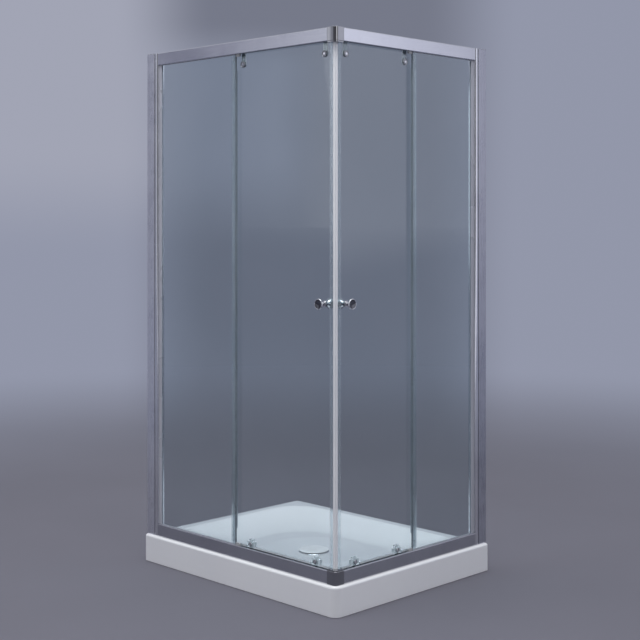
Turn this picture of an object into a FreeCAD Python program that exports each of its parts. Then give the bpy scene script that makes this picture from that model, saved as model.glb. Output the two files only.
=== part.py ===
import FreeCAD, Part
import math
import os
from collections import namedtuple

Vec = FreeCAD.Vector

# Corner-entry shower enclosure on a low acrylic tray. Millimetres, +Z up.
# The origin is the centre of the tray's footprint, on the floor. The long glass side faces -Y,
# the short glass side faces +X, and the two doors meet at the corner between them.
#
# Frame pieces are drawn in a side's own coordinates: s runs along the side from the glass corner,
# v runs inwards from the tray's outer face, and z is up. Rails and what runs in them are drawn
# with z as q, the distance from a rail's closed back towards its open mouth.

# Overall sizes
overall_height = 1900.0
tray_length = 1000.0
tray_width = 800.0
tray_height = 100.0
overrun = 5.0
same_place = 0.000001

# Tray shell
tray_wall = 5.0
tray_near_radius = 30.0
tray_wall_radius = 9.0
tray_edge_radius = 9.0
pipe_notch_width = 60.0
pipe_notch_height = 56.0
pipe_notch_radius = 12.0
rim_glass_side = 70.0
rim_wall_side = 38.0
basin_radius = 120.0
basin_depth = 44.0
floor_fall = 4.0
fall_radius = 190.0
floor_length = 540.0
floor_width = 410.0
floor_radius = 165.0
# Run inwards and depth of the basin's side, from rim to floor, and of its plainer underside
basin_side_shares = ((0.0, 0.0), (0.06, 0.06), (0.5, 0.64), (0.82, 0.92), (1.0, 1.0))
under_side_shares = ((0.0, 0.0), (0.6, 0.74), (1.0, 1.0))

# Waste: flange in the tray, loose cover and shallow trap
drain_hole_radius = 45.0
drain_seat_radius = 62.0
flange_radius = 56.0
flange_thickness = 2.5
flange_bore_radius = 38.0
flange_step = 1.5
flange_drop = 16.0
flange_ledge_radius = 34.0
flange_ledge_height = 2.0
flange_hole_clearance = 0.5
cover_radius = 55.0
cover_thickness = 2.0
cover_crown = 3.0
cover_flat_radius = 42.0
cover_gap = 3.0
cover_fit = 0.3
cover_skirt_wall = 2.0
cover_window_count = 6
cover_window_width = 14.0
trap_radius = 54.0
trap_wall = 3.0
trap_floor_gap = 4.0
outlet_radius = 20.0
outlet_lift = 1.0
outlet_wall = 2.4
outlet_reach = 130.0
outlet_stop_height = 2.5
outlet_stop_width = 4.0
outlet_grip = 42.0

# Base board and feet under the tray
board_length = 520.0
board_width = 380.0
board_thickness = 12.0
board_radius = 40.0
board_drain_clearance = 6.0
foot_inset = 55.0
foot_radius = 26.0
foot_neck_radius = 12.0
foot_height = 14.0
foot_sole = 4.0
foot_socket_depth = 9.0
stud_radius = 5.0
stud_clearance = 0.05
stud_tip_clearance = 3.0
nut_across_flats = 17.0
nut_height = 8.0

# Rail extrusion, the same at top and bottom
rail_inset = 12.0
rail_depth = 39.0
rail_height = 44.0
rail_wall = 1.6
rail_edge_radius = 2.5
slot_width = 7.6
slot_depth = 22.0
mouth_width = 15.0
track_lip_height = 8.0
bead_radius = 1.5
bead_offset = 2.4
bead_stand = 1.4
weep_length = 20.0
weep_height = 4.0
weep_pitch = 150.0

# Glass
glass_thickness = 5.0
fixed_glass_inset = 23.0
door_glass_inset = 36.0
glass_arris = 0.8
long_fixed_glass_start = 508.0
short_fixed_glass_start = 401.0

# Corner connectors
connector_proud = 1.0
connector_radius = 14.0
connector_plate = 3.0
connector_lip = 5.0
connector_lip_inset = 2.0
connector_soft_edge = 0.9
tongue_length = 28.0
tongue_clearance = 0.3

# Wall channel, wall post and joint blocks
channel_width = 42.0
channel_depth = 35.0
channel_wall = 1.8
channel_cap_plug = 6.0
channel_cap_wall = 1.4
post_clearance = 0.4
post_tail_gap = 8.0
ridge_width = 21.0
ridge_rise = 3.0
post_wall = 1.8
post_slot_depth = 15.0
wall_hole_radius = 3.0
wall_hole_count = 4
wall_hole_pitch = 500.0

# Screws of the frame
screw_radius = 2.1
screw_hole_clearance = 0.05
screw_head_radius = 3.8
screw_length = 13.0
pan_head_radius = 4.0
pan_head_height = 2.4
pan_screw_length = 9.0
post_screw_count = 3
post_screw_pitch = 700.0

# Glazing gasket and seals
gasket_lip = 1.5
gasket_clearance = 0.1
gasket_band = 16.0
gasket_band_thickness = 3.0
gasket_band_round = 2.0
gasket_foot = 3.0
seal_wall = 1.2
seal_wing = 14.0
seal_end_gap = 6.0
fin_thickness = 1.0
fin_hook = 3.0
fin_clearance = 0.3
fin_end_gap = 56.0
magnet_wing = 16.0
magnet_wall = 1.6
magnet_joint_gap = 0.3
drip_rise = 10.0
drip_sole = 2.0
drip_fin_drop = 6.0
drip_notch_half = 21.0

# Doors
door_overlap = 27.0
door_edge_engagement = 6.0
door_hole_radius = 6.0
post_stop_gap = 6.0

# Rollers
wheel_radius = 11.0
wheel_width = 5.6
wheel_bore_radius = 2.55
wheel_recess_radius = 5.4
wheel_recess_depth = 1.4
groove_clearance = 0.3
axle_radius = 2.5
axle_head_radius = 4.2
axle_head_height = 1.2
wheel_end_float = 0.3
arm_thickness = 4.0
arm_axle_end_radius = 7.5
arm_bolt_end_radius = 11.0
top_roller_drop = 36.0
top_roller_lead = 47.0
top_roller_trail = 52.0
cap_radius = 11.0
cap_height = 2.7
cap_soft_edge = 1.0
cap_shank_clearance = 0.2
bolt_radius = 3.0
bolt_clearance = 0.05
nut_cap_radius = 8.0
nut_cap_height = 4.4
bottom_roller_inset = 91.0
housing_width = 38.0
housing_depth = 12.0
housing_height = 16.0
housing_lift = 1.0
housing_round = 5.0
housing_blind = 9.0
lower_cap_radius = 7.6
slide_thickness = 3.4
slide_half_width = 6.0
slide_glass_gap = 0.4
slide_clearance = 0.3
slide_foot_radius = 7.0
release_travel = 4.0
release_gap = 0.5
button_width = 20.0
button_depth = 9.0
button_height = 5.0
button_round = 1.6

# Knobs, one on each face of a door
knob_height = 1003.0
knob_inset = 48.0
outer_knob_length = 30.0
inner_knob_length = 26.0
knob_base_radius = 11.0
knob_base_height = 3.0
knob_waist_radius = 7.0
knob_face_radius = 18.0
knob_rim_height = 3.0
knob_chamfer = 1.2
knob_stud_radius = 4.0
knob_stud_clearance = 0.1
knob_stud_bite = 9.0

# Bumpers in the rails and blocks at the ends of the glazing slots
stop_length = 10.0
stop_gap = 0.5
stop_back_gap = 12.0
block_length = 19.0
block_stand = 8.0
block_gap = 2.0
block_slot_gap = 2.0

# Places that follow from the sizes above
half_length = tray_length / 2
half_width = tray_width / 2
frame_top = overall_height - connector_proud
rail_inner = rail_inset + rail_depth
slot_outer = fixed_glass_inset - slot_width / 2
slot_inner = fixed_glass_inset + slot_width / 2
mouth_outer = slot_inner + rail_wall
mouth_inner = mouth_outer + mouth_width
chamber_inner = rail_inner - rail_wall
slot_floor = rail_height - slot_depth
track_lip = rail_height - track_lip_height
bead_inset = mouth_inner + bead_offset
bead_height = track_lip - rail_wall - bead_stand
corner_end = rail_inner
wheel_axis = bead_height - wheel_radius
door_lead = door_glass_inset
door_outer = door_glass_inset - glass_thickness / 2
door_inner = door_glass_inset + glass_thickness / 2
fixed_outer = fixed_glass_inset - glass_thickness / 2
fixed_inner = fixed_glass_inset + glass_thickness / 2
door_edge_q = rail_height - door_edge_engagement
door_bottom = tray_height + door_edge_q
door_top = frame_top - door_edge_q
mouth_bottom = tray_height + rail_height
mouth_top = frame_top - rail_height
post_band = channel_width + ridge_width
top_hole_height = mouth_top - top_roller_drop
low_hole_height = mouth_bottom + housing_lift + housing_height / 2
floor_edge_height = tray_height - basin_depth
drain_seat_height = floor_edge_height - floor_fall
under_height = drain_seat_height - tray_wall

# A side: its name, its length, and where its fixed glass ends, measured from the glass corner
Side = namedtuple("Side", "name run fixed_edge")
long_side = Side("long", tray_length, long_fixed_glass_start)
short_side = Side("short", tray_width, short_fixed_glass_start)
sides = (long_side, short_side)


def block(s0, s1, v0, v1, z0, z1):
    """A box between two corners."""
    return Part.makeBox(s1 - s0, v1 - v0, z1 - z0, Vec(s0, v0, z0))


def prism(outline, direction):
    """A closed outline of points, pushed along a direction."""
    wire = Part.makePolygon(list(outline) + [outline[0]])
    return Part.Face(wire).extrude(direction)


def turned(outline, centre, axis):
    """A closed outline of edges or points, turned a full circle about an axis."""
    if isinstance(outline[0], Vec):
        edges = Part.makePolygon(list(outline) + [outline[0]]).Edges
    else:
        edges = outline
    face = Part.Face(Part.Wire(Part.__sortEdges__(edges)))
    solid = face.revolve(centre, axis, 360)
    return solid if solid.Volume > 0 else solid.reversed()


def rod(s, z, v0, v1, radius):
    """A round bar across the glass, from inset v0 to inset v1."""
    return Part.makeCylinder(radius, v1 - v0, Vec(s, v0, z), Vec(0, 1, 0))


def join(pieces):
    """One solid from pieces that touch or overlap."""
    whole = pieces[0]
    for piece in pieces[1:]:
        whole = whole.fuse(piece)
    return whole.removeSplitter()


def soften(solid, radius, wanted):
    """Round every edge that the test picks."""
    edges = [edge for edge in solid.Edges if wanted(edge)]
    return solid.makeFillet(radius, edges)


def chamfered_end(bar, size, v):
    """Cut a slope round the end of a round bar, at inset v."""
    rim = [
        edge for edge in bar.Edges
        if abs(edge.BoundBox.YMin - v) < same_place and abs(edge.BoundBox.YMax - v) < same_place]
    return bar.makeChamfer(size, rim)


def arc_middle(run, drop):
    """Half way along an arc that leaves along its run and falls away by the drop: run and drop there."""
    radius = (run ** 2 + drop ** 2) / (2 * drop)
    half_turn = math.asin(run / radius) / 2
    return radius * math.sin(half_turn), radius * (1 - math.cos(half_turn))


def upright(edge):
    """True for a straight edge along Z."""
    ends = [vertex.Point for vertex in edge.Vertexes]
    if len(ends) != 2:
        return False
    return abs(ends[0].x - ends[1].x) < same_place and abs(ends[0].y - ends[1].y) < same_place


def corner_edge(edge, place):
    """True for the upright edge of a connector's outer corner, at the same inset from both faces."""
    return upright(edge) and all(
        abs(inset - place) < same_place for inset in (edge.Vertexes[0].X, edge.Vertexes[0].Y))


def placed(side, shape):
    """Move a shape from a side's own coordinates into the enclosure."""
    if side is long_side:
        turned_round = shape.mirror(Vec(0, 0, 0), Vec(1, 0, 0))
    else:
        turned_round = shape.copy()
        turned_round.rotate(Vec(0, 0, 0), Vec(0, 0, 1), 90)
    turned_round.translate(Vec(half_length, -half_width, 0))
    return turned_round


def at_bottom(shape):
    """Stand a rail or its fittings on the tray."""
    lifted = shape.copy()
    lifted.translate(Vec(0, 0, tray_height))
    return lifted


def at_top(shape):
    """Hang a rail or its fittings, upside down, from the top of the frame."""
    hung = shape.mirror(Vec(0, 0, 0), Vec(0, 0, 1))
    hung.translate(Vec(0, 0, frame_top))
    return hung


def save(name, solids):
    """Write one node from a solid or from a list of separate solids."""
    if not isinstance(solids, list):
        solids = [solids]
    loose = []
    for solid in solids:
        loose.extend(solid.Solids)
    shape = loose[0] if len(loose) == 1 else Part.makeCompound(loose)
    shape.exportStep(os.path.join("parts", name + ".step"))


# Tray, base board, feet and waste

def rounded_outline(x0, x1, y0, y1, radii, z):
    """A rectangle with a radius at each corner: near left, near right, far right, far left."""
    diagonal = math.sqrt(0.5)
    corners = (
        (x0, y0, 1, 1), (x1, y0, -1, 1), (x1, y1, -1, -1), (x0, y1, 1, -1))
    arcs = []
    for (x, y, to_x, to_y), radius in zip(corners, radii):
        centre = Vec(x + to_x * radius, y + to_y * radius, z)
        beside_x = Vec(x, y + to_y * radius, z)
        beside_y = Vec(x + to_x * radius, y, z)
        middle = centre - Vec(to_x * radius * diagonal, to_y * radius * diagonal, 0)
        first, last = (beside_x, beside_y) if to_x == to_y else (beside_y, beside_x)
        arcs.append((first, middle, last))
    edges = []
    for index, (first, middle, last) in enumerate(arcs):
        following = arcs[(index + 1) % len(arcs)][0]
        edges.append(Part.Arc(first, middle, last).toShape())
        edges.append(Part.LineSegment(last, following).toShape())
    return Part.Wire(edges)


def skirt_block(inset, z0, z1):
    """The tray's outer outline drawn in by an inset, pushed up from z0 to z1."""
    radii = [tray_wall_radius, tray_near_radius, tray_wall_radius, tray_wall_radius]
    outline = rounded_outline(
        inset - half_length, half_length - inset, inset - half_width, half_width - inset,
        [radius - inset for radius in radii], z0)
    return Part.Face(outline).extrude(Vec(0, 0, z1 - z0))


def basin_outline(run_share, grow, z):
    """The basin's outline part of the way from the rim to the floor, grown by a wall."""
    rim_x0 = rim_wall_side - half_length
    rim_x1 = half_length - rim_glass_side
    rim_y0 = rim_glass_side - half_width
    rim_y1 = half_width - rim_wall_side
    to_floor = run_share
    x0 = rim_x0 + (-floor_length / 2 - rim_x0) * to_floor - grow
    x1 = rim_x1 + (floor_length / 2 - rim_x1) * to_floor + grow
    y0 = rim_y0 + (-floor_width / 2 - rim_y0) * to_floor - grow
    y1 = rim_y1 + (floor_width / 2 - rim_y1) * to_floor + grow
    radius = basin_radius + (floor_radius - basin_radius) * to_floor + grow
    return rounded_outline(x0, x1, y0, y1, [radius] * 4, z)


def basin_hollow():
    """What the water fills: the sloping sides and a floor that falls to the drain."""
    outlines = [
        basin_outline(run_share, 0, tray_height - basin_depth * depth_share)
        for run_share, depth_share in basin_side_shares]
    sides_part = Part.makeLoft(outlines, True, True)
    fall = Part.makeCone(
        drain_seat_radius, fall_radius, floor_fall, Vec(0, 0, drain_seat_height))
    return sides_part.fuse(fall)


def basin_outside():
    """The underside of the basin, a wall thicker than the hollow, with a flat floor."""
    outlines = [basin_outline(0, tray_wall, tray_height - tray_wall / 2)]
    for run_share, depth_share in under_side_shares[1:]:
        z = tray_height - tray_wall - (basin_depth + floor_fall) * depth_share
        outlines.append(basin_outline(run_share, tray_wall, z))
    return Part.makeLoft(outlines, True, True)


def make_tray():
    outer = skirt_block(0, 0, tray_height)
    top_edges = [
        edge for edge in outer.Edges
        if all(abs(vertex.Z - tray_height) < same_place for vertex in edge.Vertexes)]
    outer = outer.makeFillet(tray_edge_radius, top_edges)
    inside = skirt_block(tray_wall, -overrun, tray_height - tray_wall)
    space_below = inside.cut(basin_outside())
    drain_hole = Part.makeCylinder(drain_hole_radius, tray_height, Vec(0, 0, 0))
    return outer.cut(space_below).cut(basin_hollow()).cut(drain_hole).cut(pipe_notch())


def pipe_notch():
    """A notch in the skirt on the wall side, where the waste pipe comes in from behind."""
    notch = block(
        -pipe_notch_width / 2, pipe_notch_width / 2,
        half_width - tray_wall - overrun, half_width + overrun, -overrun, pipe_notch_height)
    return soften(
        notch, pipe_notch_radius,
        lambda edge: all(abs(vertex.Z - pipe_notch_height) < same_place for vertex in edge.Vertexes)
        and abs(edge.Vertexes[0].X - edge.Vertexes[1].X) < same_place)


def foot_places():
    """Centres of the feet under the base board."""
    reach_x = board_length / 2 - foot_inset
    reach_y = board_width / 2 - foot_inset
    return [(x, y) for x in (-reach_x, reach_x) for y in (-reach_y, reach_y)]


def make_base_board():
    bottom = under_height - board_thickness
    outline = rounded_outline(
        -board_length / 2, board_length / 2, -board_width / 2, board_width / 2,
        [board_radius] * 4, bottom)
    board = Part.Face(outline).extrude(Vec(0, 0, board_thickness))
    around_trap = trap_radius + board_drain_clearance
    board = board.cut(Part.makeCylinder(around_trap, board_thickness, Vec(0, 0, bottom)))
    around_outlet = outlet_radius + board_drain_clearance
    board = board.cut(
        block(-around_outlet, around_outlet, 0, board_width, bottom, under_height))
    for x, y in foot_places():
        hole = Part.makeCylinder(stud_radius + stud_clearance, board_thickness, Vec(x, y, bottom))
        board = board.cut(hole)
    return board


def make_feet():
    """Round soles that taper to a neck with a socket for the stud."""
    outline = [
        Vec(0, 0, 0), Vec(foot_radius, 0, 0), Vec(foot_radius, 0, foot_sole),
        Vec(foot_neck_radius, 0, foot_height), Vec(0, 0, foot_height)]
    foot = turned(outline, Vec(0, 0, 0), Vec(0, 0, 1))
    socket_floor = foot_height - foot_socket_depth
    socket = Part.makeCylinder(stud_radius + stud_clearance, foot_height, Vec(0, 0, socket_floor))
    foot = foot.cut(socket)
    return [foot.translated(Vec(x, y, 0)) for x, y in foot_places()]


def make_studs():
    """A stud and a lock nut for each foot."""
    stud_bottom = foot_height - foot_socket_depth
    stud_top = under_height - stud_tip_clearance
    board_bottom = under_height - board_thickness
    stud = Part.makeCylinder(stud_radius, stud_top - stud_bottom, Vec(0, 0, stud_bottom))
    corner = nut_across_flats / 2 / math.cos(math.radians(30))
    turns = [math.radians(60 * index) for index in range(6)]
    hexagon = [
        Vec(corner * math.cos(turn), corner * math.sin(turn), board_bottom - nut_height)
        for turn in turns]
    nut = prism(hexagon, Vec(0, 0, nut_height))
    bore = Part.makeCylinder(
        stud_radius + stud_clearance, nut_height, Vec(0, 0, board_bottom - nut_height))
    nut = nut.cut(bore)
    solids = []
    for x, y in foot_places():
        solids.append(stud.translated(Vec(x, y, 0)))
        solids.append(nut.translated(Vec(x, y, 0)))
    return solids


def make_drain_flange():
    """A ring on the basin floor with a sleeve down through the tray and a ledge inside."""
    seat = drain_seat_height
    ledge = seat - flange_drop + flange_ledge_height
    sleeve_radius = drain_hole_radius - flange_hole_clearance
    outline = [
        Vec(flange_ledge_radius, 0, seat - flange_drop),
        Vec(sleeve_radius, 0, seat - flange_drop),
        Vec(sleeve_radius, 0, seat),
        Vec(flange_radius, 0, seat),
        Vec(flange_radius - flange_thickness, 0, seat + flange_thickness),
        Vec(flange_bore_radius + flange_step, 0, seat + flange_thickness),
        Vec(flange_bore_radius, 0, seat + flange_thickness - flange_step),
        Vec(flange_bore_radius, 0, ledge), Vec(flange_ledge_radius, 0, ledge)]
    return turned(outline, Vec(0, 0, 0), Vec(0, 0, 1))


def make_drain_cover():
    """A lid with a sloping rim on a slotted skirt that stands on the flange's ledge."""
    low = drain_seat_height + flange_thickness + cover_gap
    high = low + cover_thickness + cover_crown
    outline = [
        Vec(0, 0, low), Vec(cover_radius, 0, low), Vec(cover_radius, 0, low + cover_thickness),
        Vec(cover_flat_radius, 0, high), Vec(0, 0, high)]
    lid = turned(outline, Vec(0, 0, 0), Vec(0, 0, 1))
    ledge = drain_seat_height - flange_drop + flange_ledge_height
    radius = flange_bore_radius - cover_fit
    skirt = Part.makeCylinder(radius, low - ledge, Vec(0, 0, ledge))
    core = Part.makeCylinder(radius - cover_skirt_wall, low - ledge, Vec(0, 0, ledge))
    skirt = skirt.cut(core)
    for index in range(cover_window_count):
        window = block(
            0, radius + overrun, -cover_window_width / 2, cover_window_width / 2, low - cover_gap, low)
        window.rotate(Vec(0, 0, 0), Vec(0, 0, 1), 360 * index / cover_window_count)
        skirt = skirt.cut(window)
    return join([lid, skirt])


def make_drain_trap():
    """A shallow cup clamped under the tray, with a side outlet for the waste pipe."""
    cup = Part.makeCylinder(trap_radius, under_height - trap_floor_gap, Vec(0, 0, trap_floor_gap))
    axis_height = trap_floor_gap + outlet_lift + outlet_radius
    spout = Part.makeCylinder(outlet_radius, outlet_reach, Vec(0, 0, axis_height), Vec(0, 1, 0))
    stop_start = outlet_reach - outlet_grip - outlet_stop_width
    stop = Part.makeCone(
        outlet_radius, outlet_radius + outlet_stop_height, outlet_stop_width,
        Vec(0, stop_start, axis_height), Vec(0, 1, 0))
    solid = join([cup, spout, stop])
    hollow_radius = trap_radius - trap_wall
    hollow = Part.makeCylinder(
        hollow_radius, under_height, Vec(0, 0, trap_floor_gap + trap_wall))
    bore = Part.makeCylinder(
        outlet_radius - outlet_wall, outlet_reach + overrun, Vec(0, 0, axis_height), Vec(0, 1, 0))
    return solid.cut(hollow).cut(bore)


# Rails

def rail_bar(s0, s1):
    """The rail extrusion: glazing slot, hollow chambers, roller chamber and its track."""
    bar = block(s0, s1, rail_inset, rail_inner, 0, rail_height)
    bar = soften(
        bar, rail_edge_radius,
        lambda edge: all(abs(vertex.Y - rail_inset) < same_place for vertex in edge.Vertexes)
        and abs(edge.Vertexes[0].Z - edge.Vertexes[1].Z) < same_place)
    face = rail_inset + rail_wall
    past = rail_height + overrun
    cuts = [
        (slot_outer, slot_inner, slot_floor, past),
        (face, slot_inner, rail_wall, slot_floor - rail_wall),
        (face, slot_outer - rail_wall, slot_floor, rail_height - rail_wall),
        (mouth_outer, chamber_inner, rail_wall, track_lip - rail_wall),
        (mouth_outer, mouth_inner, rail_wall, past),
        (mouth_outer, rail_inner + overrun, track_lip, past)]
    for v0, v1, q0, q1 in cuts:
        bar = bar.cut(block(s0 - overrun, s1 + overrun, v0, v1, q0, q1))
    round_bead = Part.makeCylinder(bead_radius, s1 - s0, Vec(s0, bead_inset, bead_height), Vec(1, 0, 0))
    bead_half = bead_radius / 2
    stem = block(
        s0, s1, bead_inset - bead_half, bead_inset + bead_half, bead_height, track_lip - rail_wall)
    return join([bar, stem, round_bead])


def joint_screw_places(side):
    """Along the side: the screws that hold a rail to the corner and to the wall post."""
    post_face = side.run - post_band
    return (corner_end + tongue_length / 2, post_face - tongue_length / 2)


def joint_screw_inset():
    """Inset of the joint screws, the middle of the rail's closed chamber."""
    return (rail_inset + rail_wall + slot_inner) / 2


def flush_screw(s, gap):
    """A countersunk screw through the rail's back, or with a gap, the hole that takes it."""
    v = joint_screw_inset()
    head = Part.makeCone(screw_head_radius + gap, screw_radius + gap, rail_wall, Vec(s, v, 0))
    shank = Part.makeCylinder(screw_radius + gap, screw_length + gap, Vec(s, v, 0))
    return head.fuse(shank)


def make_rail(side):
    rail = rail_bar(corner_end, side.run - post_band)
    for s in joint_screw_places(side):
        rail = rail.cut(flush_screw(s, screw_hole_clearance))
    return rail


def drained(side, rail):
    """Weep slots through the inner wall, so that water runs back into the basin."""
    first = corner_end + weep_pitch / 2
    count = int((side.run - post_band - first) / weep_pitch) + 1
    for index in range(count):
        s = first + weep_pitch * index
        slot = block(
            s, s + weep_length, chamber_inner - overrun, rail_inner + overrun,
            rail_wall, rail_wall + weep_height)
        rail = rail.cut(slot)
    return rail


def tongue_block(s0, s1):
    """A block that fills the rail's closed chamber with a small clearance."""
    return block(
        s0, s1, rail_inset + rail_wall + tongue_clearance, slot_inner - tongue_clearance,
        rail_wall + tongue_clearance, slot_floor - rail_wall - tongue_clearance)


def make_joint_blocks():
    """Blocks on the wall posts that carry the wall ends of the four rails."""
    blocks = []
    for side in sides:
        post_face = side.run - post_band
        piece = tongue_block(post_face - tongue_length, post_face)
        piece = piece.cut(flush_screw(post_face - tongue_length / 2, screw_hole_clearance))
        blocks.append(placed(side, at_bottom(piece)))
        blocks.append(placed(side, at_top(piece)))
    return blocks


def corner_arm(s0, s1, v0, v1, q0, q1):
    """A block beside the long side and its twin beside the short side."""
    return [block(s0, s1, v0, v1, q0, q1), block(v0, v1, s0, s1, q0, q1)]


def make_connector(back):
    """A moulded corner with a tongue into each rail, and a lip past the rails' mouths."""
    outer = rail_inset - connector_proud
    shell = join(corner_arm(outer, corner_end, outer, mouth_outer, back, rail_height))
    plate = block(mouth_outer, corner_end, mouth_outer, corner_end, back, connector_plate)
    shell = join([shell, plate])
    shell = soften(
        shell, connector_radius,
        lambda edge: corner_edge(edge, outer))
    lip_outer = outer + connector_lip_inset
    lip = join(corner_arm(
        lip_outer, corner_end, lip_outer, mouth_outer, rail_height, rail_height + connector_lip))
    lip = soften(
        lip, connector_radius - connector_lip_inset,
        lambda edge: corner_edge(edge, lip_outer))
    top = rail_height + connector_lip
    lip = soften(
        lip, connector_soft_edge,
        lambda edge: all(abs(vertex.Z - top) < same_place for vertex in edge.Vertexes)
        and min(edge.BoundBox.XMin, edge.BoundBox.YMin) < lip_outer + connector_radius)
    pieces = [shell, lip]
    for s0, s1, v0, v1 in tongue_reach():
        pieces.append(block(
            s0, s1, v0, v1, rail_wall + tongue_clearance, slot_floor - rail_wall - tongue_clearance))
    connector = join(pieces)
    middle = corner_end + tongue_length / 2
    hole = flush_screw(middle, screw_hole_clearance)
    connector = connector.cut(hole)
    twin = hole.mirror(Vec(0, 0, 0), Vec(1, -1, 0))
    return connector.cut(twin)


def tongue_reach():
    """Plan of the two tongues: start, end, outer and inner face of each."""
    outer = rail_inset + rail_wall + tongue_clearance
    inner = slot_inner - tongue_clearance
    end = corner_end + tongue_length
    return ((corner_end, end, outer, inner), (outer, inner, corner_end, end))


# Wall channel and wall post

def plan_prism(side, outline, z0, z1):
    """An outline of points as distance from the wall and inset, pushed up from z0 to z1."""
    points = [Vec(side.run - w, v, z0) for w, v in outline]
    return prism(points, Vec(0, 0, z1 - z0))


def wall_holes(side):
    """Round holes in the channel's web for the wall screws."""
    middle = (tray_height + frame_top) / 2
    first = middle - wall_hole_pitch * (wall_hole_count - 1) / 2
    v = rail_inset + channel_depth / 2
    holes = []
    for index in range(wall_hole_count):
        centre = Vec(side.run - channel_wall - overrun, v, first + wall_hole_pitch * index)
        holes.append(Part.makeCylinder(wall_hole_radius, channel_wall + overrun * 2, centre, Vec(1, 0, 0)))
    return holes


def post_screw_heights():
    """Heights of the screws that hold each post in its channel."""
    middle = (tray_height + frame_top) / 2
    first = middle - post_screw_pitch * (post_screw_count - 1) / 2
    return [first + post_screw_pitch * index for index in range(post_screw_count)]


def post_screw_distance():
    """Distance of those screws from the wall."""
    return (channel_width + post_tail_gap) / 2


def pan_screw_shank(side, z, end, radius):
    """A round bar through the channel's inner flange and into the post."""
    return rod(side.run - post_screw_distance(), z, rail_inset + channel_depth - pan_screw_length, end, radius)


def pan_screw(side, z):
    """A pan-head screw that holds a post in its channel."""
    inner = rail_inset + channel_depth
    head = rod(side.run - post_screw_distance(), z, inner, inner + pan_head_height, pan_head_radius)
    return join([head, pan_screw_shank(side, z, inner, screw_radius)])


def pan_screw_hole(side, z):
    """The hole that takes it, in the channel and in the post."""
    end = rail_inset + channel_depth + overrun
    return pan_screw_shank(side, z, end, screw_radius + screw_hole_clearance)


def make_wall_channel(side):
    """A U section with its web on the wall and a bead along each flange."""
    outer = rail_inset
    inner = rail_inset + channel_depth
    outline = [
        (0, outer), (channel_width, outer), (channel_width, outer + channel_wall),
        (channel_wall, outer + channel_wall), (channel_wall, inner - channel_wall),
        (channel_width, inner - channel_wall), (channel_width, inner), (0, inner)]
    channel = plan_prism(side, outline, tray_height, frame_top)
    for hole in wall_holes(side):
        channel = channel.cut(hole)
    for z in post_screw_heights():
        channel = channel.cut(pan_screw_hole(side, z))
    return channel


def make_channel_cap(side):
    """A lid on the channel's top end, held by a plug between the flanges."""
    lid = block(
        side.run - channel_width, side.run, rail_inset, rail_inset + channel_depth,
        frame_top, overall_height)
    low = frame_top - channel_cap_plug
    near = side.run - post_tail_gap + post_clearance
    far = side.run - channel_wall
    outer = rail_inset + channel_wall
    inner = rail_inset + channel_depth - channel_wall
    plug = block(near, far, outer, inner, low, frame_top)
    core = block(
        near + channel_cap_wall, far - channel_cap_wall, outer + channel_cap_wall,
        inner - channel_cap_wall, low, frame_top)
    return join([lid, plug.cut(core)])


def make_wall_post(side):
    """The upright that slides in the channel: a hollow box, a rounded ridge and a glass slot."""
    outer = rail_inset + channel_wall + post_clearance
    inner = rail_inset + channel_depth - channel_wall - post_clearance
    ridge_start = side.run - channel_width - post_clearance
    ridge_end = side.run - post_band
    ridge_middle = (ridge_start + ridge_end) / 2
    tail = side.run - post_tail_gap
    height = frame_top - tray_height

    def at(s, v):
        return Vec(s, v, tray_height)

    outline = Part.Wire([
        Part.LineSegment(at(tail, outer), at(ridge_start, outer)).toShape(),
        Part.Arc(at(ridge_start, outer), at(ridge_middle, outer - ridge_rise), at(ridge_end, outer)).toShape(),
        Part.LineSegment(at(ridge_end, outer), at(ridge_end, inner)).toShape(),
        Part.Arc(at(ridge_end, inner), at(ridge_middle, inner + ridge_rise), at(ridge_start, inner)).toShape(),
        Part.LineSegment(at(ridge_start, inner), at(tail, inner)).toShape(),
        Part.LineSegment(at(tail, inner), at(tail, outer)).toShape()])
    post = Part.Face(outline).extrude(Vec(0, 0, height))
    slot_end = ridge_end + post_slot_depth
    post = post.cut(block(ridge_end - overrun, slot_end, slot_outer, slot_inner, tray_height, frame_top))
    hollow_start = slot_end + post_wall
    post = post.cut(block(
        hollow_start, tail - post_wall, outer + post_wall, inner - post_wall, tray_height, frame_top))
    beside_slot = slot_inner + post_wall
    post = post.cut(block(
        ridge_end + post_wall, hollow_start - post_wall, beside_slot, inner - post_wall,
        tray_height, frame_top))
    for z in post_screw_heights():
        post = post.cut(pan_screw_hole(side, z))
    return post


def make_frame_screws():
    """Flush screws in the rails and pan-head screws in the wall channels."""
    screws = []
    for side in sides:
        for s in joint_screw_places(side):
            screws.append(placed(side, at_bottom(flush_screw(s, 0).removeSplitter())))
            screws.append(placed(side, at_top(flush_screw(s, 0).removeSplitter())))
        for z in post_screw_heights():
            screws.append(placed(side, pan_screw(side, z)))
    return screws


# Fixed glass, its gasket and its edge seal

def fixed_glass_ends(side):
    """Start, end, bottom and top of a fixed glass, inside the slots that hold it."""
    end = side.run - post_band + post_slot_depth - gasket_foot
    low = tray_height + slot_floor + gasket_foot
    high = frame_top - slot_floor - gasket_foot
    return side.fixed_edge, end, low, high


def make_fixed_glass(side):
    start, end, low, high = fixed_glass_ends(side)
    pane = block(start, end, fixed_outer, fixed_inner, low, high)
    return soften(
        pane, glass_arris,
        lambda edge: upright(edge) and abs(edge.Vertexes[0].X - start) < same_place)


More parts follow.
